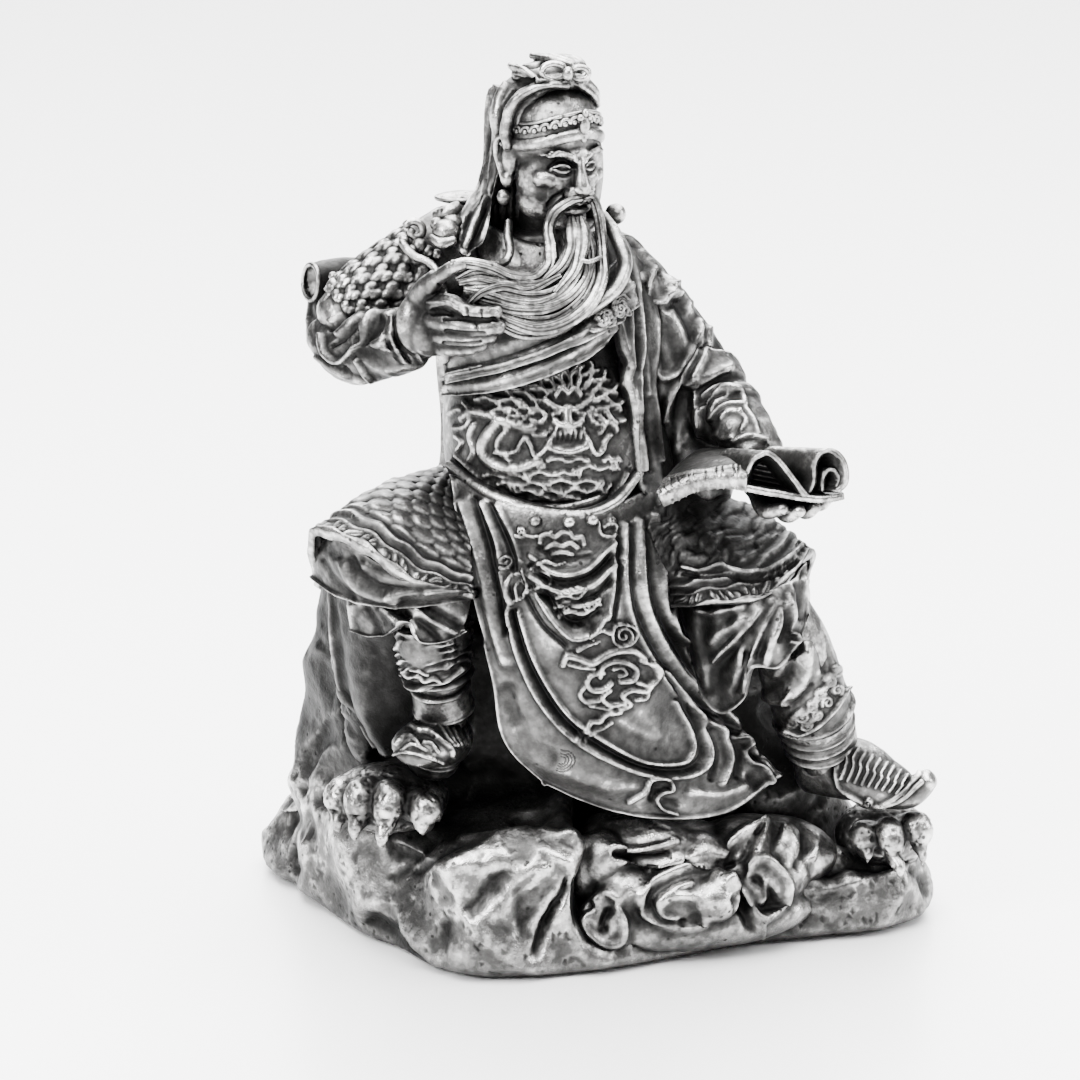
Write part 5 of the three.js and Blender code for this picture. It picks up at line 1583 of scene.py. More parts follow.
right_arm = [
    limb(
        "forearm", [(-48, -5, 157), (-45, -13, 156), (-39, -21, 158), (-33, -28, 161)],
        [(9, 8.6), (9, 8.6), (8.4, 8.2), (7.5, 7.5)], 60, 60,
    ),
    limb(
        "cuff", [(-36, -24, 159.3), (-31.6, -28.6, 161.8)], [(8.4, 8.4), (8.0, 7.8)], 60, 30, bulge=0.1,
    ),
    limb(
        "hanging_edge", [(-53, 0, 161), (-51, -7, 154.5), (-45, -14, 151.5), (-39, -20, 154)],
        [(2.6, 4), (3, 4.4), (3, 4.4), (2, 4)], 40, 60,
    ),
    limb("sleeve_curl", [(-54.5, 6, 164), (-54.5, 4, 157), (-52, 0, 152)], [3, 3.6, 3], 40, 60),
    limb("elbow", [(-50, 4, 162), (-50, 0, 155)], [6.5, 6], 40, 40),
]
right_arm = melt("right_arm", right_arm, 0.5, 8)
sculpt(right_arm, sleeve_skin)
finish(right_arm, FINE, -0.8)

knob = [
    limb(
        "roll", [spot(311, 282, -2), spot(320, 281, -3), spot(336, 278, -5), spot(358, 273, -8)],
        [(4.6, 4.6), (5, 5), (5, 4.8), (4, 4)], 60, 70, up=(0, 1, 0), bulge=-0.9,
        relief=lambda u, t, spots: 0.3 * grain(spots, 5, 2),
    ),
    limb(
        "roll_lip",
        [
            spot(311 + 8 * math.cos(a), 282 + 18 * math.sin(a), -2 + 4.2 * math.cos(a))
            for a in np.linspace(0, 6.283, 13)
        ],
        [0.6] * 13, 18, 100,
    ),
    limb("capsule", [spot(333, 284, 8), spot(341, 293, 10), spot(350, 301, 12)], [2, 2.4, 2], 30, 40),
    *(
        lump("bead", spot(x, y, d), (r, r, r))
        for x, y, d, r in (
            (349, 280, 10, 1.5), (357, 280, 11, 1.3), (363, 284, 12, 1.4), (355, 291, 13, 1.9),
            (366, 293, 13.5, 1.6), (333, 276, 6, 1.1), (419, 245, 13, 1.9), (412, 250, 14, 1.4),
            (428, 251, 13, 1.5), (437, 254, 13, 1.3), (404, 240, 12, 1.4),
        )
    ),
    limb(
        "ring",
        [spot(334 + 9 * math.cos(a), 305 + 11 * math.sin(a), 11) for a in np.linspace(0.5, 6.2, 10)],
        [1.0] * 10, 20, 90, up=(0, 1, 0),
    ),
    lump("bead", spot(334, 306, 10.5), (1.3, 1.3, 1.3)),
    lump("bead", spot(337, 316, 11), (1.2, 1.2, 1.2)),
    limb(
        "cloud_curl",
        [
            spot(415 + r * math.cos(a), 231 + r * math.sin(a), 12)
            for a, r in zip(np.linspace(3.6, -2.6, 14), np.linspace(3, 11, 14))
        ],
        [1.0] * 14, 22, 110, up=(0, 1, 0),
    ),
    lump("shoulder_plate", (-19, 4, 190), (6.5, 5, 1.6), fineness=4),
    limb(
        "plate_rim",
        [(-19 + 6.4 * math.cos(a), 4 + 4.9 * math.sin(a), 190) for a in np.linspace(0, 6.283, 17)],
        [0.6] * 17, 16, 110,
    ),
    limb("plate_stem", [(-18, 2, 178), (-19, 3, 189)], [(6, 5), (3, 3)], 30, 20),
    lump("beast", spot(446, 231, 14), (3.4, 3, 3)), lump("beast", spot(452, 222, 12), (2.6, 2.4, 2.2)),
    lump("beast", spot(438, 224, 12), (2, 2, 1.8)),
    limb(
        "beast_lip", [spot(432, 238, 15), spot(442, 243, 17), spot(454, 240, 17)], [1.1, 1.4, 1.1], 22,
        40,
    ),
    limb(
        "beast_lip", [spot(436, 216, 10), spot(448, 212, 11), spot(458, 206, 10)], [1.4, 1.8, 1.4], 22,
        40,
    ),
    limb(
        "rim",
        [
            spot(402, 242, 13), spot(408, 250, 15), spot(416, 257, 16), spot(428, 262, 17),
            spot(436, 270, 19), spot(437, 280, 21),
        ],
        [1.0, 1.1, 1.1, 1.0, 1.0, 0.8], 22, 90,
    ),
]
finish(join("right_shoulder", knob))

# %% [markdown]
# ## Hands
# A hand is a flattened palm and tapering fingers, each with knuckles, melted together so the skin
# runs from one into the next.

# %% Build the hands
def finger(path, size):
    count = len(path)
    radii = [size * (1 - 0.28 * i / (count - 1)) * (1.06 if i % 2 else 0.97) for i in range(count)]
    return limb("finger", path, radii, 26, 44, bulge=0.9)


right_hand = [
    limb(
        "wrist", [spot(398, 346, 22), spot(410, 338, 27), spot(420, 328, 31)],
        [(5.6, 5.6), (6.2, 6), (6.6, 5.6)], 40, 30,
    ),
    lump("palm", spot(424, 322, 34.5), (7, 4.6, 8), 0.4, fineness=4),
    lump("palm", spot(432, 330, 36), (6, 4, 6.4), 0.4, fineness=4),
    limb(
        "thumb_root", [spot(417, 312, 33), spot(424, 292, 37), spot(436, 278, 40)], [3.8, 3.0, 2.2], 30,
        30,
    ),
    finger([spot(422, 300, 36), spot(433, 283, 40), spot(450, 269, 43), spot(462, 264, 44.5)], 2.1),
    finger(
        [
            spot(428, 304, 37), spot(450, 303, 43), spot(466, 311, 46), spot(482, 313, 47.5),
            spot(497, 312, 48),
        ],
        2.2,
    ),
    finger([spot(428, 320, 38), spot(452, 324, 44), spot(476, 328, 47), spot(499, 327, 47.5)], 2.3),
    finger([spot(430, 334, 37), spot(453, 337, 43), spot(474, 339, 45.5), spot(491, 336, 46)], 2.2),
    finger([spot(430, 345, 35), spot(450, 348, 40), spot(468, 348, 42.5), spot(483, 344, 43)], 2.0),
]
HAND_STROKES = [
    line(5, -0.5, 434, 312, 446, 310, 458, 315),
    line(2.4, -0.6, 444, 319, 462, 318, 480, 320, 494, 319),
    line(2.4, -0.6, 446, 331, 464, 333, 484, 333), line(2.4, -0.5, 444, 343, 462, 344, 480, 342),
    line(1.4, -0.35, 466, 307, 468, 316), line(1.2, -0.35, 481, 309, 482, 317),
    line(1.2, -0.35, 476, 323, 478, 332), line(1.3, 0.35, 490, 309, 496, 309, 499, 312, 495, 315),
    line(1.3, 0.35, 492, 323, 499, 324, 501, 328), line(1.4, -0.3, 438, 284, 444, 290),
    line(2.2, 0.5, 428, 302, 447, 302, 457, 308), line(1.4, 0.4, 455, 262, 463, 262, 465, 267),
]


def hand_skin(spots, normals):
    x, y = front(spots)
    near = ramp(-normals[:, 1] + 0.25 * normals[:, 2], 0.0, 0.3)
    return raised(x, y, HAND_STROKES) * near + 0.15 * grain(spots, 5, 3) + 0.05 * grain(spots, 1.2, 2)


right_hand = melt("right_hand", right_hand, 0.32, 6)
sculpt(right_hand, hand_skin)
finish(right_hand, 0.5, -0.65)
left_hand = [
    lump("palm", (58, -27, 124.5), (9, 8, 4), 0.3, fineness=4),
    finger([(52, -30, 124), (54, -38, 121.5), (58, -42, 123)], 2.2),
    finger([(56, -30, 123), (59, -38, 120.5), (62, -42, 122.5)], 2.2),
    finger([(60, -29, 123), (63.5, -37, 121), (66, -40, 123)], 2.1),
    finger([(63, -27, 123.5), (67, -34, 122), (69, -37, 124)], 1.9),
]
finish(melt("left_hand", left_hand, 0.36, 5), 0.6)

# %% [markdown]
# ## The left arm
# The left arm reaches down to the book in a wide sleeve. The large folds are tubes melted together,
# and the smaller ones are strokes on the front plane.

# %% Build the left arm
LEFT_FOLDS = [
    line(
        2.8, 1.5, 653, 271, 648, 290, 647, 320, 651, 357, 661, 378, 675, 375, 687, 358, 695, 340, 699,
        322,
    ),
    line(4, -1.0, 656, 310, 658, 345, 664, 368), line(2.2, 1.0, 651, 303, 665, 303),
    line(4.4, 1.7, 699, 330, 699, 350, 686, 374, 670, 402, 666, 420),
    line(4, 1.3, 709, 329, 706, 353, 694, 378), line(2.4, -0.9, 704, 345, 692, 370, 678, 395),
    line(6, -1.4, 682, 395, 676, 420, 668, 447), line(6, 0.9, 690, 400, 688, 420, 690, 440),
    line(3.6, 1.5, 695, 388, 703, 381, 718, 372, 730, 367), line(3, 1.3, 696, 392, 697, 412, 699, 436),
    line(3, 1.4, 703, 396, 718, 387, 738, 388, 744, 399), line(3, -1.2, 706, 402, 712, 396, 724, 393),
    line(2.6, 1.4, 712, 418, 718, 409, 730, 404, 745, 404), line(3, -1.0, 704, 404, 704, 420, 710, 430),
    line(2.0, 1.0, 716, 402, 712, 408, 708, 420), line(3, 1.0, 722, 416, 730, 411, 740, 411),
    line(2.2, 1.0, 740, 412, 746, 420, 742, 430), line(2, 1.0, 746, 408, 754, 420, 758, 432),
    line(2.2, 1.0, 716, 434, 724, 438, 732, 436), line(2.6, 1.3, 734, 441, 750, 436, 766, 441),
    line(3.4, 1.1, 666, 299, 672, 292, 681, 291, 689, 300, 690, 312),
    line(4, -0.9, 668, 308, 676, 304, 684, 312), line(2.2, 1.0, 674, 284, 682, 282, 690, 290, 693, 302),
    line(4, 0.8, 636, 240, 652, 262, 668, 282), line(4, -0.7, 640, 262, 650, 280),
]


def left_skin(spots, normals):
    x, y = front(spots)
    near = ramp(-normals[:, 1] + 0.25 * normals[:, 2], 0.0, 0.3)
    return 0.8 * swell(x, y, LEFT_FOLDS) * near + 0.4 * grain(spots, 9, 3) + 0.06 * grain(spots, 1.6, 2)


left_arm = [
    limb(
        "upper", [(14, 1, 176), (22, 2, 167), (29.5, 2, 157), (36, 1, 148), (40, -2, 142)],
        [(8, 8), (10, 9.5), (10.5, 10), (10.5, 10), (9.5, 9)], 60, 60, up=(0, 1, 0),
    ),
    limb(
        "forearm", [(38, 0, 144), (44, -7, 140), (49, -14, 136.5), (54, -22, 132)],
        [(10, 10), (9, 8.6), (7.8, 7.2), (6, 5)], 60, 60,
    ),
    limb("fold", [(38.5, -1, 146), (41, -5, 142)], [(11.6, 11), (11.4, 10.8)], 60, 30, bulge=0.1),
    limb("band", [(45.5, -9, 139.5), (47, -11, 138.3)], [(9.4, 9), (9, 8.6)], 60, 20, bulge=0.1),
    limb(
        "hanging", [(22, -2, 168), (28, -5, 154), (31, -6, 140), (33, -3, 126)],
        [(8, 8), (9, 8), (9, 8), (8, 7)], 60, 60, up=(0, 1, 0),
        relief=lambda u, t, spots: 0.8 * np.cos(2 * math.pi * (5 * u + 0.5 * t)),
    ),
    limb(
        "fall", [spot(688, 428, 2), spot(692, 462, 4), spot(690, 498, 4)],
        [(9, 8), (10.5, 9), (9.5, 8)], 60, 50, up=(0, 1, 0),
        relief=lambda u, t, spots: 0.7 * np.cos(2 * math.pi * (5 * u + 0.5 * t)),
    ),
    lump("beast", (31, -3, 168), (4, 4.6, 3.8), fineness=4),
    lump("knot", spot(615, 214, 2), (2.8, 3, 2.6)),
]
left_arm = melt("left_arm", left_arm, 0.5, 8)
sculpt(left_arm, left_skin)
finish(left_arm, FINE, -0.3)

# %% [markdown]
# ## The book
# The book lies open on the left hand. Its closed leaves are a thick block with the nicks of worn
# pages on the near edge. One leaf arches over, and the far leaves curl back on themselves. Each is
# a cloth of its own, drawn by its near edge, because that edge is what shows.

# %% Build the book
BOOK_STROKES = [
    *(
        stroke(
            [
                (x, 482 - 0.22 * (x - 658)), (x + bend, 490 - 0.22 * (x - 658)),
                (x - 1, 500 - 0.25 * (x - 658)),
            ],
            1.2, -0.3,
        )
        for x, bend in (
            (662, 2), (671, -1), (677, 2), (688, 1), (693, -2), (705, 2), (716, -1), (722, 1), (733, 2),
            (739, -1),
        )
    ),
    line(1.8, 0.4, 656, 483, 690, 472, 742, 465),
]


def worn_pages(u, v, spots):
    x, y = front(spots)
    return raised(x, y, BOOK_STROKES) + 0.15 * grain(spots, 5, 3)


def leaf(name, near, far_shift, thick, across=70, down=44, relief=None):
    """A leaf whose near edge is given on the front plane. It runs back by far_shift."""
    near = [spot(*p) for p in near]
    far = [tuple(np.add(p, far_shift)) for p in near]
    middle = [between(p, q, 0.5) for p, q in zip(far, near)]
    return cloth(name, [far, middle, near], across, down, thick, relief)


block = cloth(
    "block", [
        [spot(687, 456, 17), spot(700, 449, 17), spot(735, 446, 18), spot(766, 446, 20)],
        [spot(670, 472, 30), spot(694, 460, 32), spot(727, 456, 33), spot(756, 456, 34)],
        [spot(656, 492, 42), spot(688, 477, 43), spot(720, 472, 44), spot(747, 474, 45)],
    ], 150, 90, 4.2, worn_pages,
)
leaves = [
    leaf(
        "arch",
        [
            (745, 476, 44), (752, 460, 44.5), (760, 453, 44.5), (769, 451, 44.5), (781, 459, 44.5),
            (794, 475, 44.5), (809, 495, 45),
        ],
        (-8, 15, -3), 1.1, relief=lambda u, v, spots: 0.12 * grain(spots, 5, 3),
    ),
    leaf(
        "curled",
        [
            (808, 494, 43), (813, 482, 43), (814, 466, 43), (820, 453, 43), (831, 448, 43),
            (843, 455, 43), (849, 470, 43), (848, 484, 43), (840, 493, 43),
        ],
        (-13, 14, -3), 1.2, 90, relief=lambda u, v, spots: 0.12 * grain(spots, 5, 3),
    ),
    leaf(
        "inner_curl",
        [(822, 492, 42), (823, 478, 42), (829, 469, 42), (837, 469, 42), (842, 478, 42), (839, 488, 42)],
        (-10, 12, -2), 0.9, 50, relief=lambda u, v, spots: 0.1 * grain(spots, 5, 3),
    ),
    leaf(
        "under",
        [(722, 480, 43), (745, 485, 44), (775, 490, 44), (806, 495, 44), (828, 496, 43), (844, 493, 42)],
        (-4, 22, -1), 1.6,
        relief=lambda u, v, spots: 0.12 * np.cos(u * 190) * ramp(v, 0.9, 0.97)
        + 0.15 * grain(spots, 4, 3),
    ),
    strip(
        "inner", [(750, 482, 38), (756, 466, 38), (768, 459, 38), (782, 468, 38), (800, 490, 38)],
        [(750, 488, 38), (760, 489, 38), (772, 490, 38), (784, 491, 38), (800, 493, 38)], 0.2, 1.0,
        lambda u, v, spots: 0.25 * np.cos(spots[:, 2] * 5 + spots[:, 0]), 60, 40,
    ),
]
finish(block)
finish(join("leaves", leaves))

# %% [markdown]
# ## The head
# The head is turned to its left, towards the book, and tipped down. Points on it are given in its
# own directions, to its left, backwards and up from its middle, so the face keeps even proportions:
# the brow, the base of the nose and the chin are a third of the face apart.

# %% Build the head
HEAD_MATRIX = Euler((0.12, 0, 0.6), "XYZ").to_matrix()
HEAD_CENTRE = np.array([3, -12, 204.0])


def head(x, y, z):
    return tuple(HEAD_CENTRE + np.array(HEAD_MATRIX @ Vector((x, y, z))))


def head_lump(x, y, z, half, fineness=4):
    return lump("lump", head(x, y, z), half, 0.6, 0.12, fineness)


head_pieces = [
    limb("neck", [(1, 3, 174), (2, -2, 194)], [7.2, 6.8], 60, 30, up=(0, 1, 0)),
    head_lump(0, 2, 5, (11.6, 13.3, 12.5), 5), head_lump(0, -2.4, -5, (10.2, 9.2, 11.3), 5),
    head_lump(0, -8.0, -14.0, (4.8, 3.8, 3.6)), head_lump(0, -10.6, 2.4, (3.4, 1.6, 1.6)),
    limb(
        "nose", [head(0, -10.8, 1.8), head(0, -12.1, -2), head(0, -13.7, -5.4)], [1.5, 1.7, 2.0], 24,
        30, up=(1, 0, 0),
    ),
    head_lump(0, -13.5, -5.9, (2.1, 1.9, 1.7)), head_lump(0, -10.6, -10.4, (4.2, 2.0, 2.4)),
]
for side in (-1, 1):
    head_pieces += [
        head_lump(side * 6.3, -7.0, -3.8, (3.5, 3.3, 3.0)),
        head_lump(side * 5.8, -2.6, -10.6, (4.2, 6, 4.6)),
        head_lump(side * 4.4, -9.2, 2.5, (3.6, 1.7, 1.2)),
        head_lump(side * 2.2, -12.2, -6.5, (1.4, 1.6, 1.3)),
        head_lump(side * 10.6, 3, -1.2, (1.4, 3.0, 4.6)),
        head_lump(side * 11, 2.4, -6.4, (1.5, 1.7, 2.2)),
        limb(
            "ear_rim",
            [
                head(side * 10.8, 0.6, 1.5), head(side * 11.8, 2.6, 4), head(side * 12.4, 5.4, 3),
                head(side * 12.2, 6, -1), head(side * 11.6, 4, -5), head(side * 11.4, 2.4, -7.4),
            ],
            [0.7, 0.8, 0.85, 0.8, 0.8, 1.0], 20, 60,
        ),
    ]

# %% [markdown]
# The face is drawn once, on one half, in tenths of a millimetre from its middle line, and both
# halves read the same drawing. The lids are low over the eyes, as of someone who reads.

# %% Sculpt the face
FACE = [
    line(4.2, 0.75, 20, 12, 29, 4, 42, 2, 54, 6, 64, 13),
    line(3, -0.45, 17, 6, 29, -5, 44, -7, 58, 0, 68, 9),
    line(3.2, 0.45, 21, 15, 32, 20, 44, 20, 57, 14), line(2.0, -0.7, 21, 13, 34, 12, 46, 12, 60, 12),
    line(4, -0.3, 24, 27, 38, 31, 54, 26),
    stroke([(13, -8), (26, -19), (44, -26), (62, -27), (80, -17)], [7, 9, 9, 7, 3], 0.95),
    *(
        stroke(
            [(14 + 8 * i, -5 - 2.6 * i), (22 + 8 * i, -17 - 2.4 * i), (34 + 8 * i, -22 - 1.6 * i)], 1.5,
            -0.28,
        )
        for i in range(6)
    ),
    line(5, 0.6, 15, 60, 25, 57, 33, 65, 29, 74, 16, 77), line(5, -1.0, 9, 79, 18, 79),
    line(3.4, -0.6, 34, 58, 37, 70, 30, 80), line(7, -0.5, 36, 66, 52, 84, 60, 106),
    line(3.4, -0.9, 0, 105, 18, 103, 36, 108), line(8, 0.8, 0, 115, 16, 116, 30, 110),
    line(6, 0.6, 0, 96, 14, 94, 30, 101), line(4, -0.4, 0, 84, 0, 93), line(8, -0.7, 0, 128, 18, 127),
    line(10, -0.3, 72, 36, 80, 60, 76, 92),
]


def face_skin(spots, normals):
    local = (spots - HEAD_CENTRE) @ np.array(HEAD_MATRIX)
    side, down = np.abs(local[:, 0]) * 10, -local[:, 2] * 10
    shown = ramp(-local[:, 1], 3, 6)
    socket = -1.1 * np.exp(-(((side - 42) / 27) ** 2) - ((down - 8) / 19) ** 2)
    ball = 1.1 * np.sqrt(np.clip(1 - ((side - 41) / 22) ** 2 - ((down - 12) / 13) ** 2, 0, 1))
    temple = -0.5 * np.exp(-(((side - 84) / 20) ** 2) - ((down - 0) / 26) ** 2)
    cheek = 0.7 * np.exp(-(((side - 60) / 24) ** 2) - ((down - 42) / 18) ** 2)
    hollow = -0.6 * np.exp(-(((side - 66) / 16) ** 2) - ((down - 88) / 26) ** 2)
    return (
        (raised(side, down, FACE) + socket + ball + cheek + hollow) * shown + temple
        + 0.12 * grain(spots, 5, 3) + 0.04 * grain(spots, 1.2, 2)
    )


the_head = melt("head", head_pieces, 0.32, 9)
sculpt(the_head, face_skin)
finish(the_head, 0.42, 0.35, 0.8)
earrings = [lump("earring", head(side * 11.8, 2.2, -10.8), (1.7, 1.7, 1.9)) for side in (-1, 1)]
finish(join("earrings", earrings))

# %% [markdown]
# ## The headcloth
# A bandeau with pearls and a jewel holds the cloth. The hood has a rolled front edge, stands up at
# the back, is tied with a bow on top and ends in tails behind the shoulders. The bandeau and the
# bow stay tubes and lumps with sharp joins, and the hood under them is melted soft.

# %% Build the headcloth
def band_point(angle, z, grow):
    return head(
        math.sin(angle) * (11.9 + grow), 1.5 - math.cos(angle) * (13.6 + grow),
        z - 4.5 * math.sin(angle) ** 2,
    )


def ring_path(x, y, wide, tall, forward, start, end, count=9):
    return [
        spot(x + wide * math.cos(a), y + tall * math.sin(a), forward)
        for a in np.linspace(start, end, count)
    ]


BAND = np.linspace(-1.5, 1.5, 15)
PEARLS = [0.2 * i for i in range(-7, 8) if i]
trimmings = [
    limb("bandeau", [band_point(a, 7.4, -0.3) for a in BAND], [(1.0, 1.5)] * 15, 30, 150),
    limb("bandeau_edge", [band_point(a, 12.6, -0.9) for a in BAND], [(0.45, 0.5)] * 15, 16, 130),
    *(
        limb(
            "scallop",
            [
                band_point(i + 0.09 * math.cos(a), 10.6 + 1.2 * math.sin(a), -0.4)
                for a in np.linspace(0, 3.2, 7)
            ],
            [0.42] * 7, 14, 30,
        )
        for i in PEARLS
    ),
    *(lump("pearl", band_point(i, 10.6, -0.5), (0.75, 0.75, 0.75), fineness=2) for i in PEARLS),
    lump("jewel", band_point(0, 9.6, 0.3), (1.3, 0.9, 2.3), 0.6, 0.12),
    lump("jewel", band_point(-0.1, 11.6, 0.1), (0.9, 0.8, 0.9)),
    lump("jewel", band_point(0.1, 11.6, 0.1), (0.9, 0.8, 0.9)),
    lump("jewel", band_point(0, 12.6, 0.1), (0.8, 0.8, 1.1)),
    lump("jewel", band_point(0, 6.4, 0.3), (0.7, 0.7, 1.1)),
    limb("loop", ring_path(554, 71, 12, 7.5, 19.5, 0.5, 6.0), [0.75] * 9, 20, 90, up=(0, 1, 0)),
    limb("loop", ring_path(580, 73, 8.5, 6, 20.5, -2.6, 3.0), [0.75] * 9, 20, 80, up=(0, 1, 0)),
    lump("knot", spot(568, 74, 21.5), (1.3, 1.2, 1.8)),
]
finish(join("trimmings", trimmings))

HOOD_FOLDS = [
    line(4, 1.3, 509, 150, 506, 128, 511, 108, 524, 94, 545, 85, 566, 84),
    line(2.8, -1.1, 515, 140, 515, 122, 522, 106, 534, 97),
    line(2.4, -0.8, 503, 150, 501, 125, 504, 104, 514, 90),
    line(3.4, 1.0, 498, 150, 496, 125, 498, 100, 506, 84), line(3, 0.9, 578, 84, 592, 94, 602, 112),
    line(3, 1.2, 512, 67, 524, 70, 536, 78), line(3, -1.2, 514, 78, 530, 82, 548, 82),
    line(3, 1.0, 534, 56, 552, 60, 572, 66), line(2.4, -0.8, 520, 66, 536, 66, 544, 62),
    line(2.2, 0.7, 548, 56, 566, 60, 582, 68),
]


def hood_skin(spots, normals):
    x, y = front(spots)
    near = ramp(-normals[:, 1] + 0.4 * normals[:, 2], 0.0, 0.3)
    behind = 0.7 * np.cos(0.42 * spots[:, 0] + 0.05 * spots[:, 2]) * ramp(spots[:, 1], -2, 6)
    return raised(x, y, HOOD_FOLDS) * near + behind + 0.3 * grain(spots, 6, 3)


hood = [
    limb(
        "rolled_edge",
        [
            head(-11.5, 2, 3), head(-10.8, 0, 13), head(-4.5, -3, 18), head(3, -4, 18), head(9, -2, 14),
            head(12, 2, 8),
        ],
        [(1.8, 1.8), (2, 2), (2, 2), (2, 2), (1.8, 1.8), (1.4, 1.4)], 30, 80, up=(0, 1, 0),
    ),
    lump("hood", head(0, 5.4, 7.6), (12.8, 12.0, 11.6), 0.6, 0.12, 5),
    lump("bow_bed", spot(545, 73, 12), (8.2, 6, 3), 0.2, 0, 4),
    lump("bow_bed", spot(560, 67, 10), (6.5, 6, 3.2), 0.2, 0, 4),
    limb(
        "leaf", [spot(512, 68, 6), spot(522, 71, 9), spot(538, 76, 13)],
        [(0.8, 0.6), (2.4, 1.2), (1.6, 1)], 30, 40,
    ),
    limb(
        "leaf", [spot(534, 55, 6), spot(545, 60, 9), spot(560, 66, 13)],
        [(0.8, 0.7), (2.2, 1.6), (2, 1.4)], 30, 40,
    ),
    limb(
        "leaf", [spot(589, 78, 17), spot(580, 82, 16), spot(566, 80, 16)],
        [(0.8, 0.6), (1.6, 1.2), (1.6, 1)], 30, 30,
    ),
]
hood = melt("hood", hood, 0.4, 4)
sculpt(hood, hood_skin)
finish(hood)

TAIL_FOLDS = [
    line(4, 0.9, 492, 90, 489, 150, 484, 185, 470, 205, 460, 226),
    line(4, 1.1, 498, 100, 494, 150, 490, 190, 478, 215, 466, 245),
    line(2.6, -1.0, 495, 110, 491, 160, 485, 195, 470, 218, 462, 238),
    line(3, 1.2, 492, 180, 488, 215, 478, 248), line(3, -0.9, 489, 200, 480, 226, 470, 250),
]


def tail_relief(u, v, spots):
    x, y = front(spots)
    return (
        raised(x, y, TAIL_FOLDS) + 0.6 * ridge(u, 0.02, 0.04) + 0.6 * ridge(u, 0.98, 0.04)
        + 0.5 * ridge(v, 0.98, 0.03) + 0.2 * grain(spots, 5, 3)
    )


finish(drape(
    "hood_tail",
    [
        (495, 84, -2), (490, 110, -3), (489, 150, -3), (484, 180, -1), (470, 205, 6), (457, 228, 12),
        (455, 246, 14),
    ],
    [
        (504, 88, 4), (506, 118, 6), (506, 150, 7), (498, 178, 8), (491, 208, 11), (484, 236, 15),
        (466, 256, 17),
    ],
    1.5, 2.4, tail_relief,
))
HOOD_ROWS = [
    [(12, -2, 216), (5, 2, 220), (-3, 1, 221), (-9, -3, 218)],
    [(15, 0, 200), (5, 8, 202), (-6, 6, 202), (-12, -1, 202)],
    [(14, 6, 186), (3, 15, 184), (-9, 12, 186), (-17, 0, 187)],
    [(12, 13, 168), (0, 20, 164), (-13, 16, 168), (-20, 8, 178)],
]
finish(cloth(
    "hood_back", HOOD_ROWS, 100, 100, 4,
    lambda u, v, spots: 0.9 * np.cos(u * 6 * math.pi) * (0.5 + 0.7 * v) + 0.2 * grain(spots, 7, 3),
))
COLLAR_ROUND = [
    (1 + 15 * math.sin(a), 1 - 15 * math.cos(a), 181 - 4 * math.cos(a) ** 2)
    for a in np.linspace(-3.1, 3.1, 15)
]
finish(limb(
    "neck_cloth", COLLAR_ROUND, [(3.4, 4.6)] * 15, 40, 160, up=(0, 0, 1),
    relief=lambda u, t, spots: 0.5 * np.cos(6 * math.pi * u + 4 * t),
), FINE, 0.5)
finish(limb(
    "nape_hair", [spot(514, 176, -5), spot(511, 205, -4), spot(508, 240, -6)], [(4, 5), (5, 6), (4, 5)],
    70, 60, up=(0, 1, 0), relief=lambda u, t, spots: 0.45 * np.cos(26 * math.pi * u + 3 * t),
), FINE, 0.6)
finish(limb(
    "ribbon",
    [
        spot(509, 222, 14), spot(508, 236, 17), spot(510, 250, 20), spot(505, 262, 23),
        spot(490, 264, 26), spot(470, 262, 28),
    ],
    [(1, 1.1), (1.1, 1.3), (1.1, 1.3), (1, 1.2), (1, 1), (0.8, 0.8)], 26, 110, up=(0, 1, 0),
))

# %% [markdown]
# ## The beard
# Two strands of moustache frame the mouth. The beard falls from the chin and sweeps across to the
# right hand. Its locks run between an inner and an outer line, each wandering a little, so they
# part and meet, and a broad body underneath closes the gaps between them.

# %% Build the beard
INNER = [
    (563, 236, 23), (567, 254, 28), (561, 270, 33), (543, 283, 38), (520, 283, 41), (498, 275, 43),
    (476, 272, 44), (457, 278, 43),
]
OUTER = [
    (595, 238, 22), (598, 258, 26), (596, 280, 32), (580, 304, 38), (552, 320, 42), (520, 320, 44),
    (494, 310, 44.5), (474, 300, 43),
]


def wisps(u, t, spots):
    return (
        0.17 * np.cos(2 * math.pi * (5 * u + 0.5 * t)) + 0.09 * np.cos(2 * math.pi * (12 * u + 0.9 * t))
    )


def lock(name, points, radii, along=150):
    pairs = [(r, 0.85 * r) for r in radii]
    return limb(name, [spot(*p) for p in points], pairs, 40, along, up=(0, -1, 0), relief=wisps)


def hank(share, size, wander):
    """A lock that keeps its share of the way from the inner to the outer line, with some wander."""
    points = []
    for k, (p, q) in enumerate(zip(INNER, OUTER)):
        here = share + 0.07 * math.sin(wander + 0.9 * k)
        points.append(between(p, q, here))
    body = [0.6, 0.85, 1, 1.1, 1.1, 1.0, 0.85, 0.45]
    return lock(
        "hank", [(x, y, d + 1.4 * math.sin(math.pi * min(1, max(0, share)))) for x, y, d in points],
        [size * k for k in body],
    )


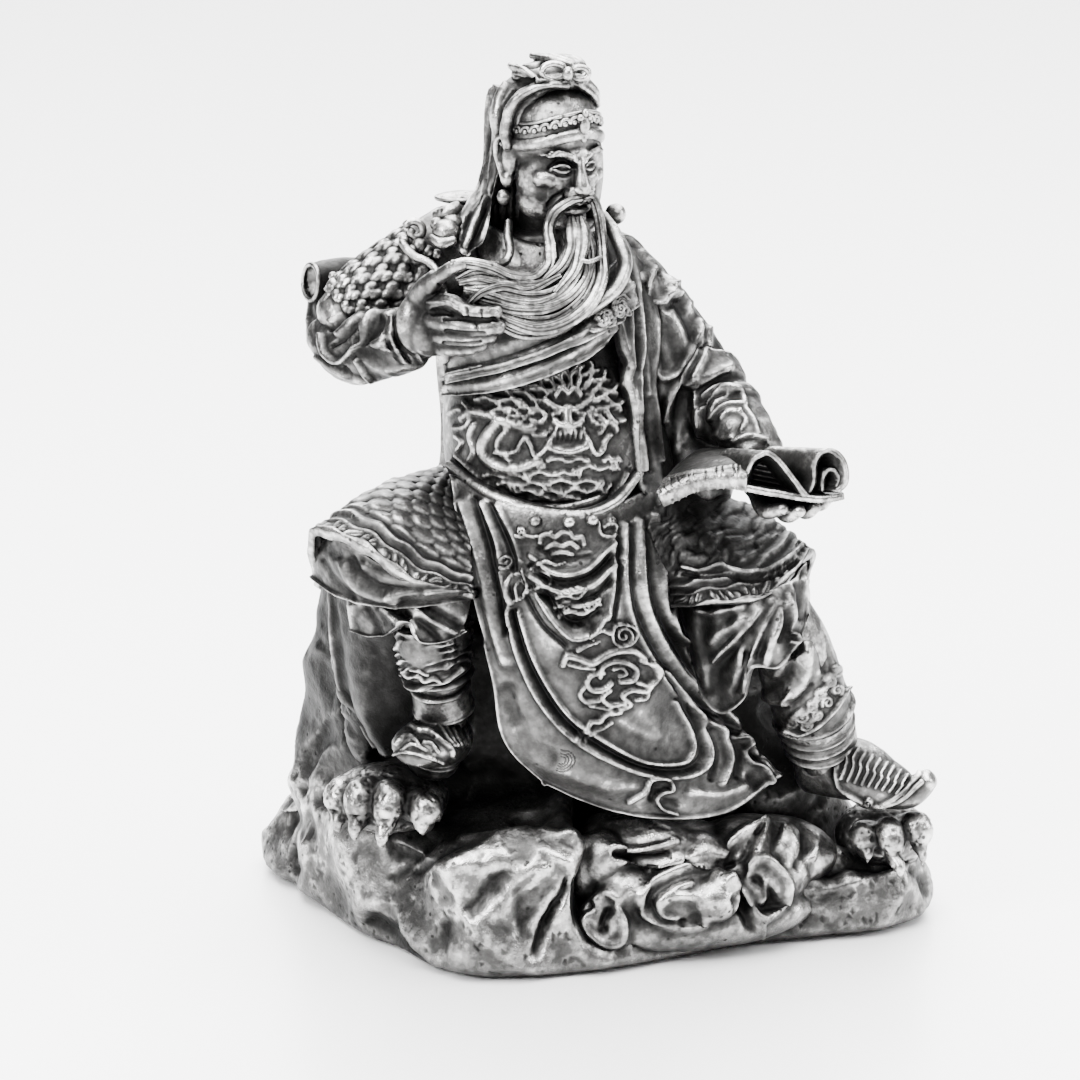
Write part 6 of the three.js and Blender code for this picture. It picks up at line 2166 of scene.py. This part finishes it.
beard = [
    limb(
        "body", [spot(a, b, d - 1.2) for a, b, d in (between(p, q, 0.5) for p, q in zip(INNER, OUTER))],
        [(3.6, 1), (4.2, 1), (4.8, 1), (5.2, 1), (5, 1), (4.4, 1), (3.6, 0.9), (2.2, 0.8)], 80, 120,
        up=(0, -1, 0),
    ),
    *(
        hank(share, size, 2.4 * i)
        for i, (share, size) in enumerate(
            (
                (0.0, 1.3), (0.14, 1.0), (0.26, 1.2), (0.4, 0.95), (0.5, 1.25), (0.64, 1.0),
                (0.76, 1.2), (0.88, 0.95), (1.0, 1.2),
            )
        )
    ),
    lock(
        "tuft", [(572, 218, 24), (573, 232, 27), (572, 248, 30), (562, 266, 35), (545, 280, 39)],
        [0.8, 1.9, 1.8, 1.3, 0.6],
    ),
    lock(
        "tuft", [(580, 218, 24.5), (582, 234, 27.5), (580, 252, 31), (573, 272, 36), (556, 292, 41)],
        [0.8, 2.0, 1.7, 1.2, 0.6],
    ),
    lock(
        "stray",
        [
            (598, 285, 33), (583, 310, 40), (556, 330, 43), (524, 334, 44.5), (500, 324, 45),
            (486, 312, 45),
        ],
        [0.5, 1.0, 1.4, 1.3, 1.0, 0.5],
    ),
    lock(
        "stray", [(560, 276, 38), (530, 290, 42.5), (504, 286, 45), (482, 292, 46), (468, 304, 45)],
        [0.5, 0.9, 1.1, 1.0, 0.5],
    ),
]
finish(join("beard", beard), FINE, -0.35)
moustache = [
    limb(
        "moustache",
        [
            head(-0.5, -13.6, -8.0), head(-3.2, -13.3, -8.4), spot(555, 212, 24), spot(549, 228, 24.5),
            spot(551, 248, 28.5), spot(549, 266, 33), spot(534, 279, 38), spot(512, 278, 41.5),
            spot(490, 268, 43.5), spot(468, 263, 44.5), spot(452, 264, 44),
        ],
        [0.7, 1.1, 1.3, 1.3, 1.6, 1.8, 1.7, 1.5, 1.3, 1.1, 0.7], 44, 260, up=(0, -1, 0), relief=wisps,
    ),
    limb(
        "moustache",
        [
            head(0.5, -13.6, -8.0), head(3.4, -13.0, -8.6), spot(598, 214, 21), spot(601, 236, 22.5),
            spot(602, 258, 26.5), spot(601, 280, 32), spot(589, 304, 38), spot(566, 322, 42),
            spot(538, 329, 44.5), spot(512, 322, 45.5), spot(492, 312, 45.5),
        ],
        [0.7, 1.0, 1.2, 1.2, 1.4, 1.7, 1.8, 1.7, 1.5, 1.2, 0.7], 44, 260, up=(0, -1, 0), relief=wisps,
    ),
    limb("tie", [spot(576, 257, 33), spot(588, 262, 33.5), spot(601, 257, 29)], [0.5, 0.6, 0.5], 16, 40),
]
finish(join("moustache", moustache))

# %% [markdown]
# ## Floor, light and surroundings
# The floor is plain and pale, and the world is an even white. A wide lamp above and one behind give
# the soft light, and two small ones from the left and the right put glints on the rubbed edges.

# %% Floor, light and surroundings
def studio():
    bm = bmesh.new()
    bmesh.ops.create_grid(bm, x_segments=1, y_segments=1, size=12)
    floor = to_object("floor", bm)
    paint = bpy.data.materials.new("floor_white")
    paint.use_nodes = True
    shader = paint.node_tree.nodes["Principled BSDF"]
    shader.inputs["Base Color"].default_value = (0.97, 0.97, 0.97, 1)
    shader.inputs["Roughness"].default_value = 0.32
    floor.data.materials.append(paint)
    world = bpy.data.worlds.new("studio")
    bpy.context.scene.world = world
    world.use_nodes = True
    world.node_tree.nodes["Background"].inputs["Color"].default_value = (1, 1, 1, 1)
    world.node_tree.nodes["Background"].inputs["Strength"].default_value = 0.36
    for name, place, size, power in (
        ("top", (0.0, -0.2, 2.2), 3.2, 360.0),
        ("back", (0.0, 4.0, 3.2), 5.0, 900.0),
        ("key", (-0.8, -0.9, 0.8), 0.5, 26.0),
        ("right", (1.1, -0.1, 0.5), 0.5, 12.0),
    ):
        light = bpy.data.objects.new(name, bpy.data.lights.new(name, "AREA"))
        light.data.size = size
        light.data.energy = power
        light.location = place
        light.rotation_euler = (Vector((0, 0, 0.1)) - Vector(place)).to_track_quat("-Z", "Y").to_euler()
        bpy.context.scene.collection.objects.link(light)


studio()
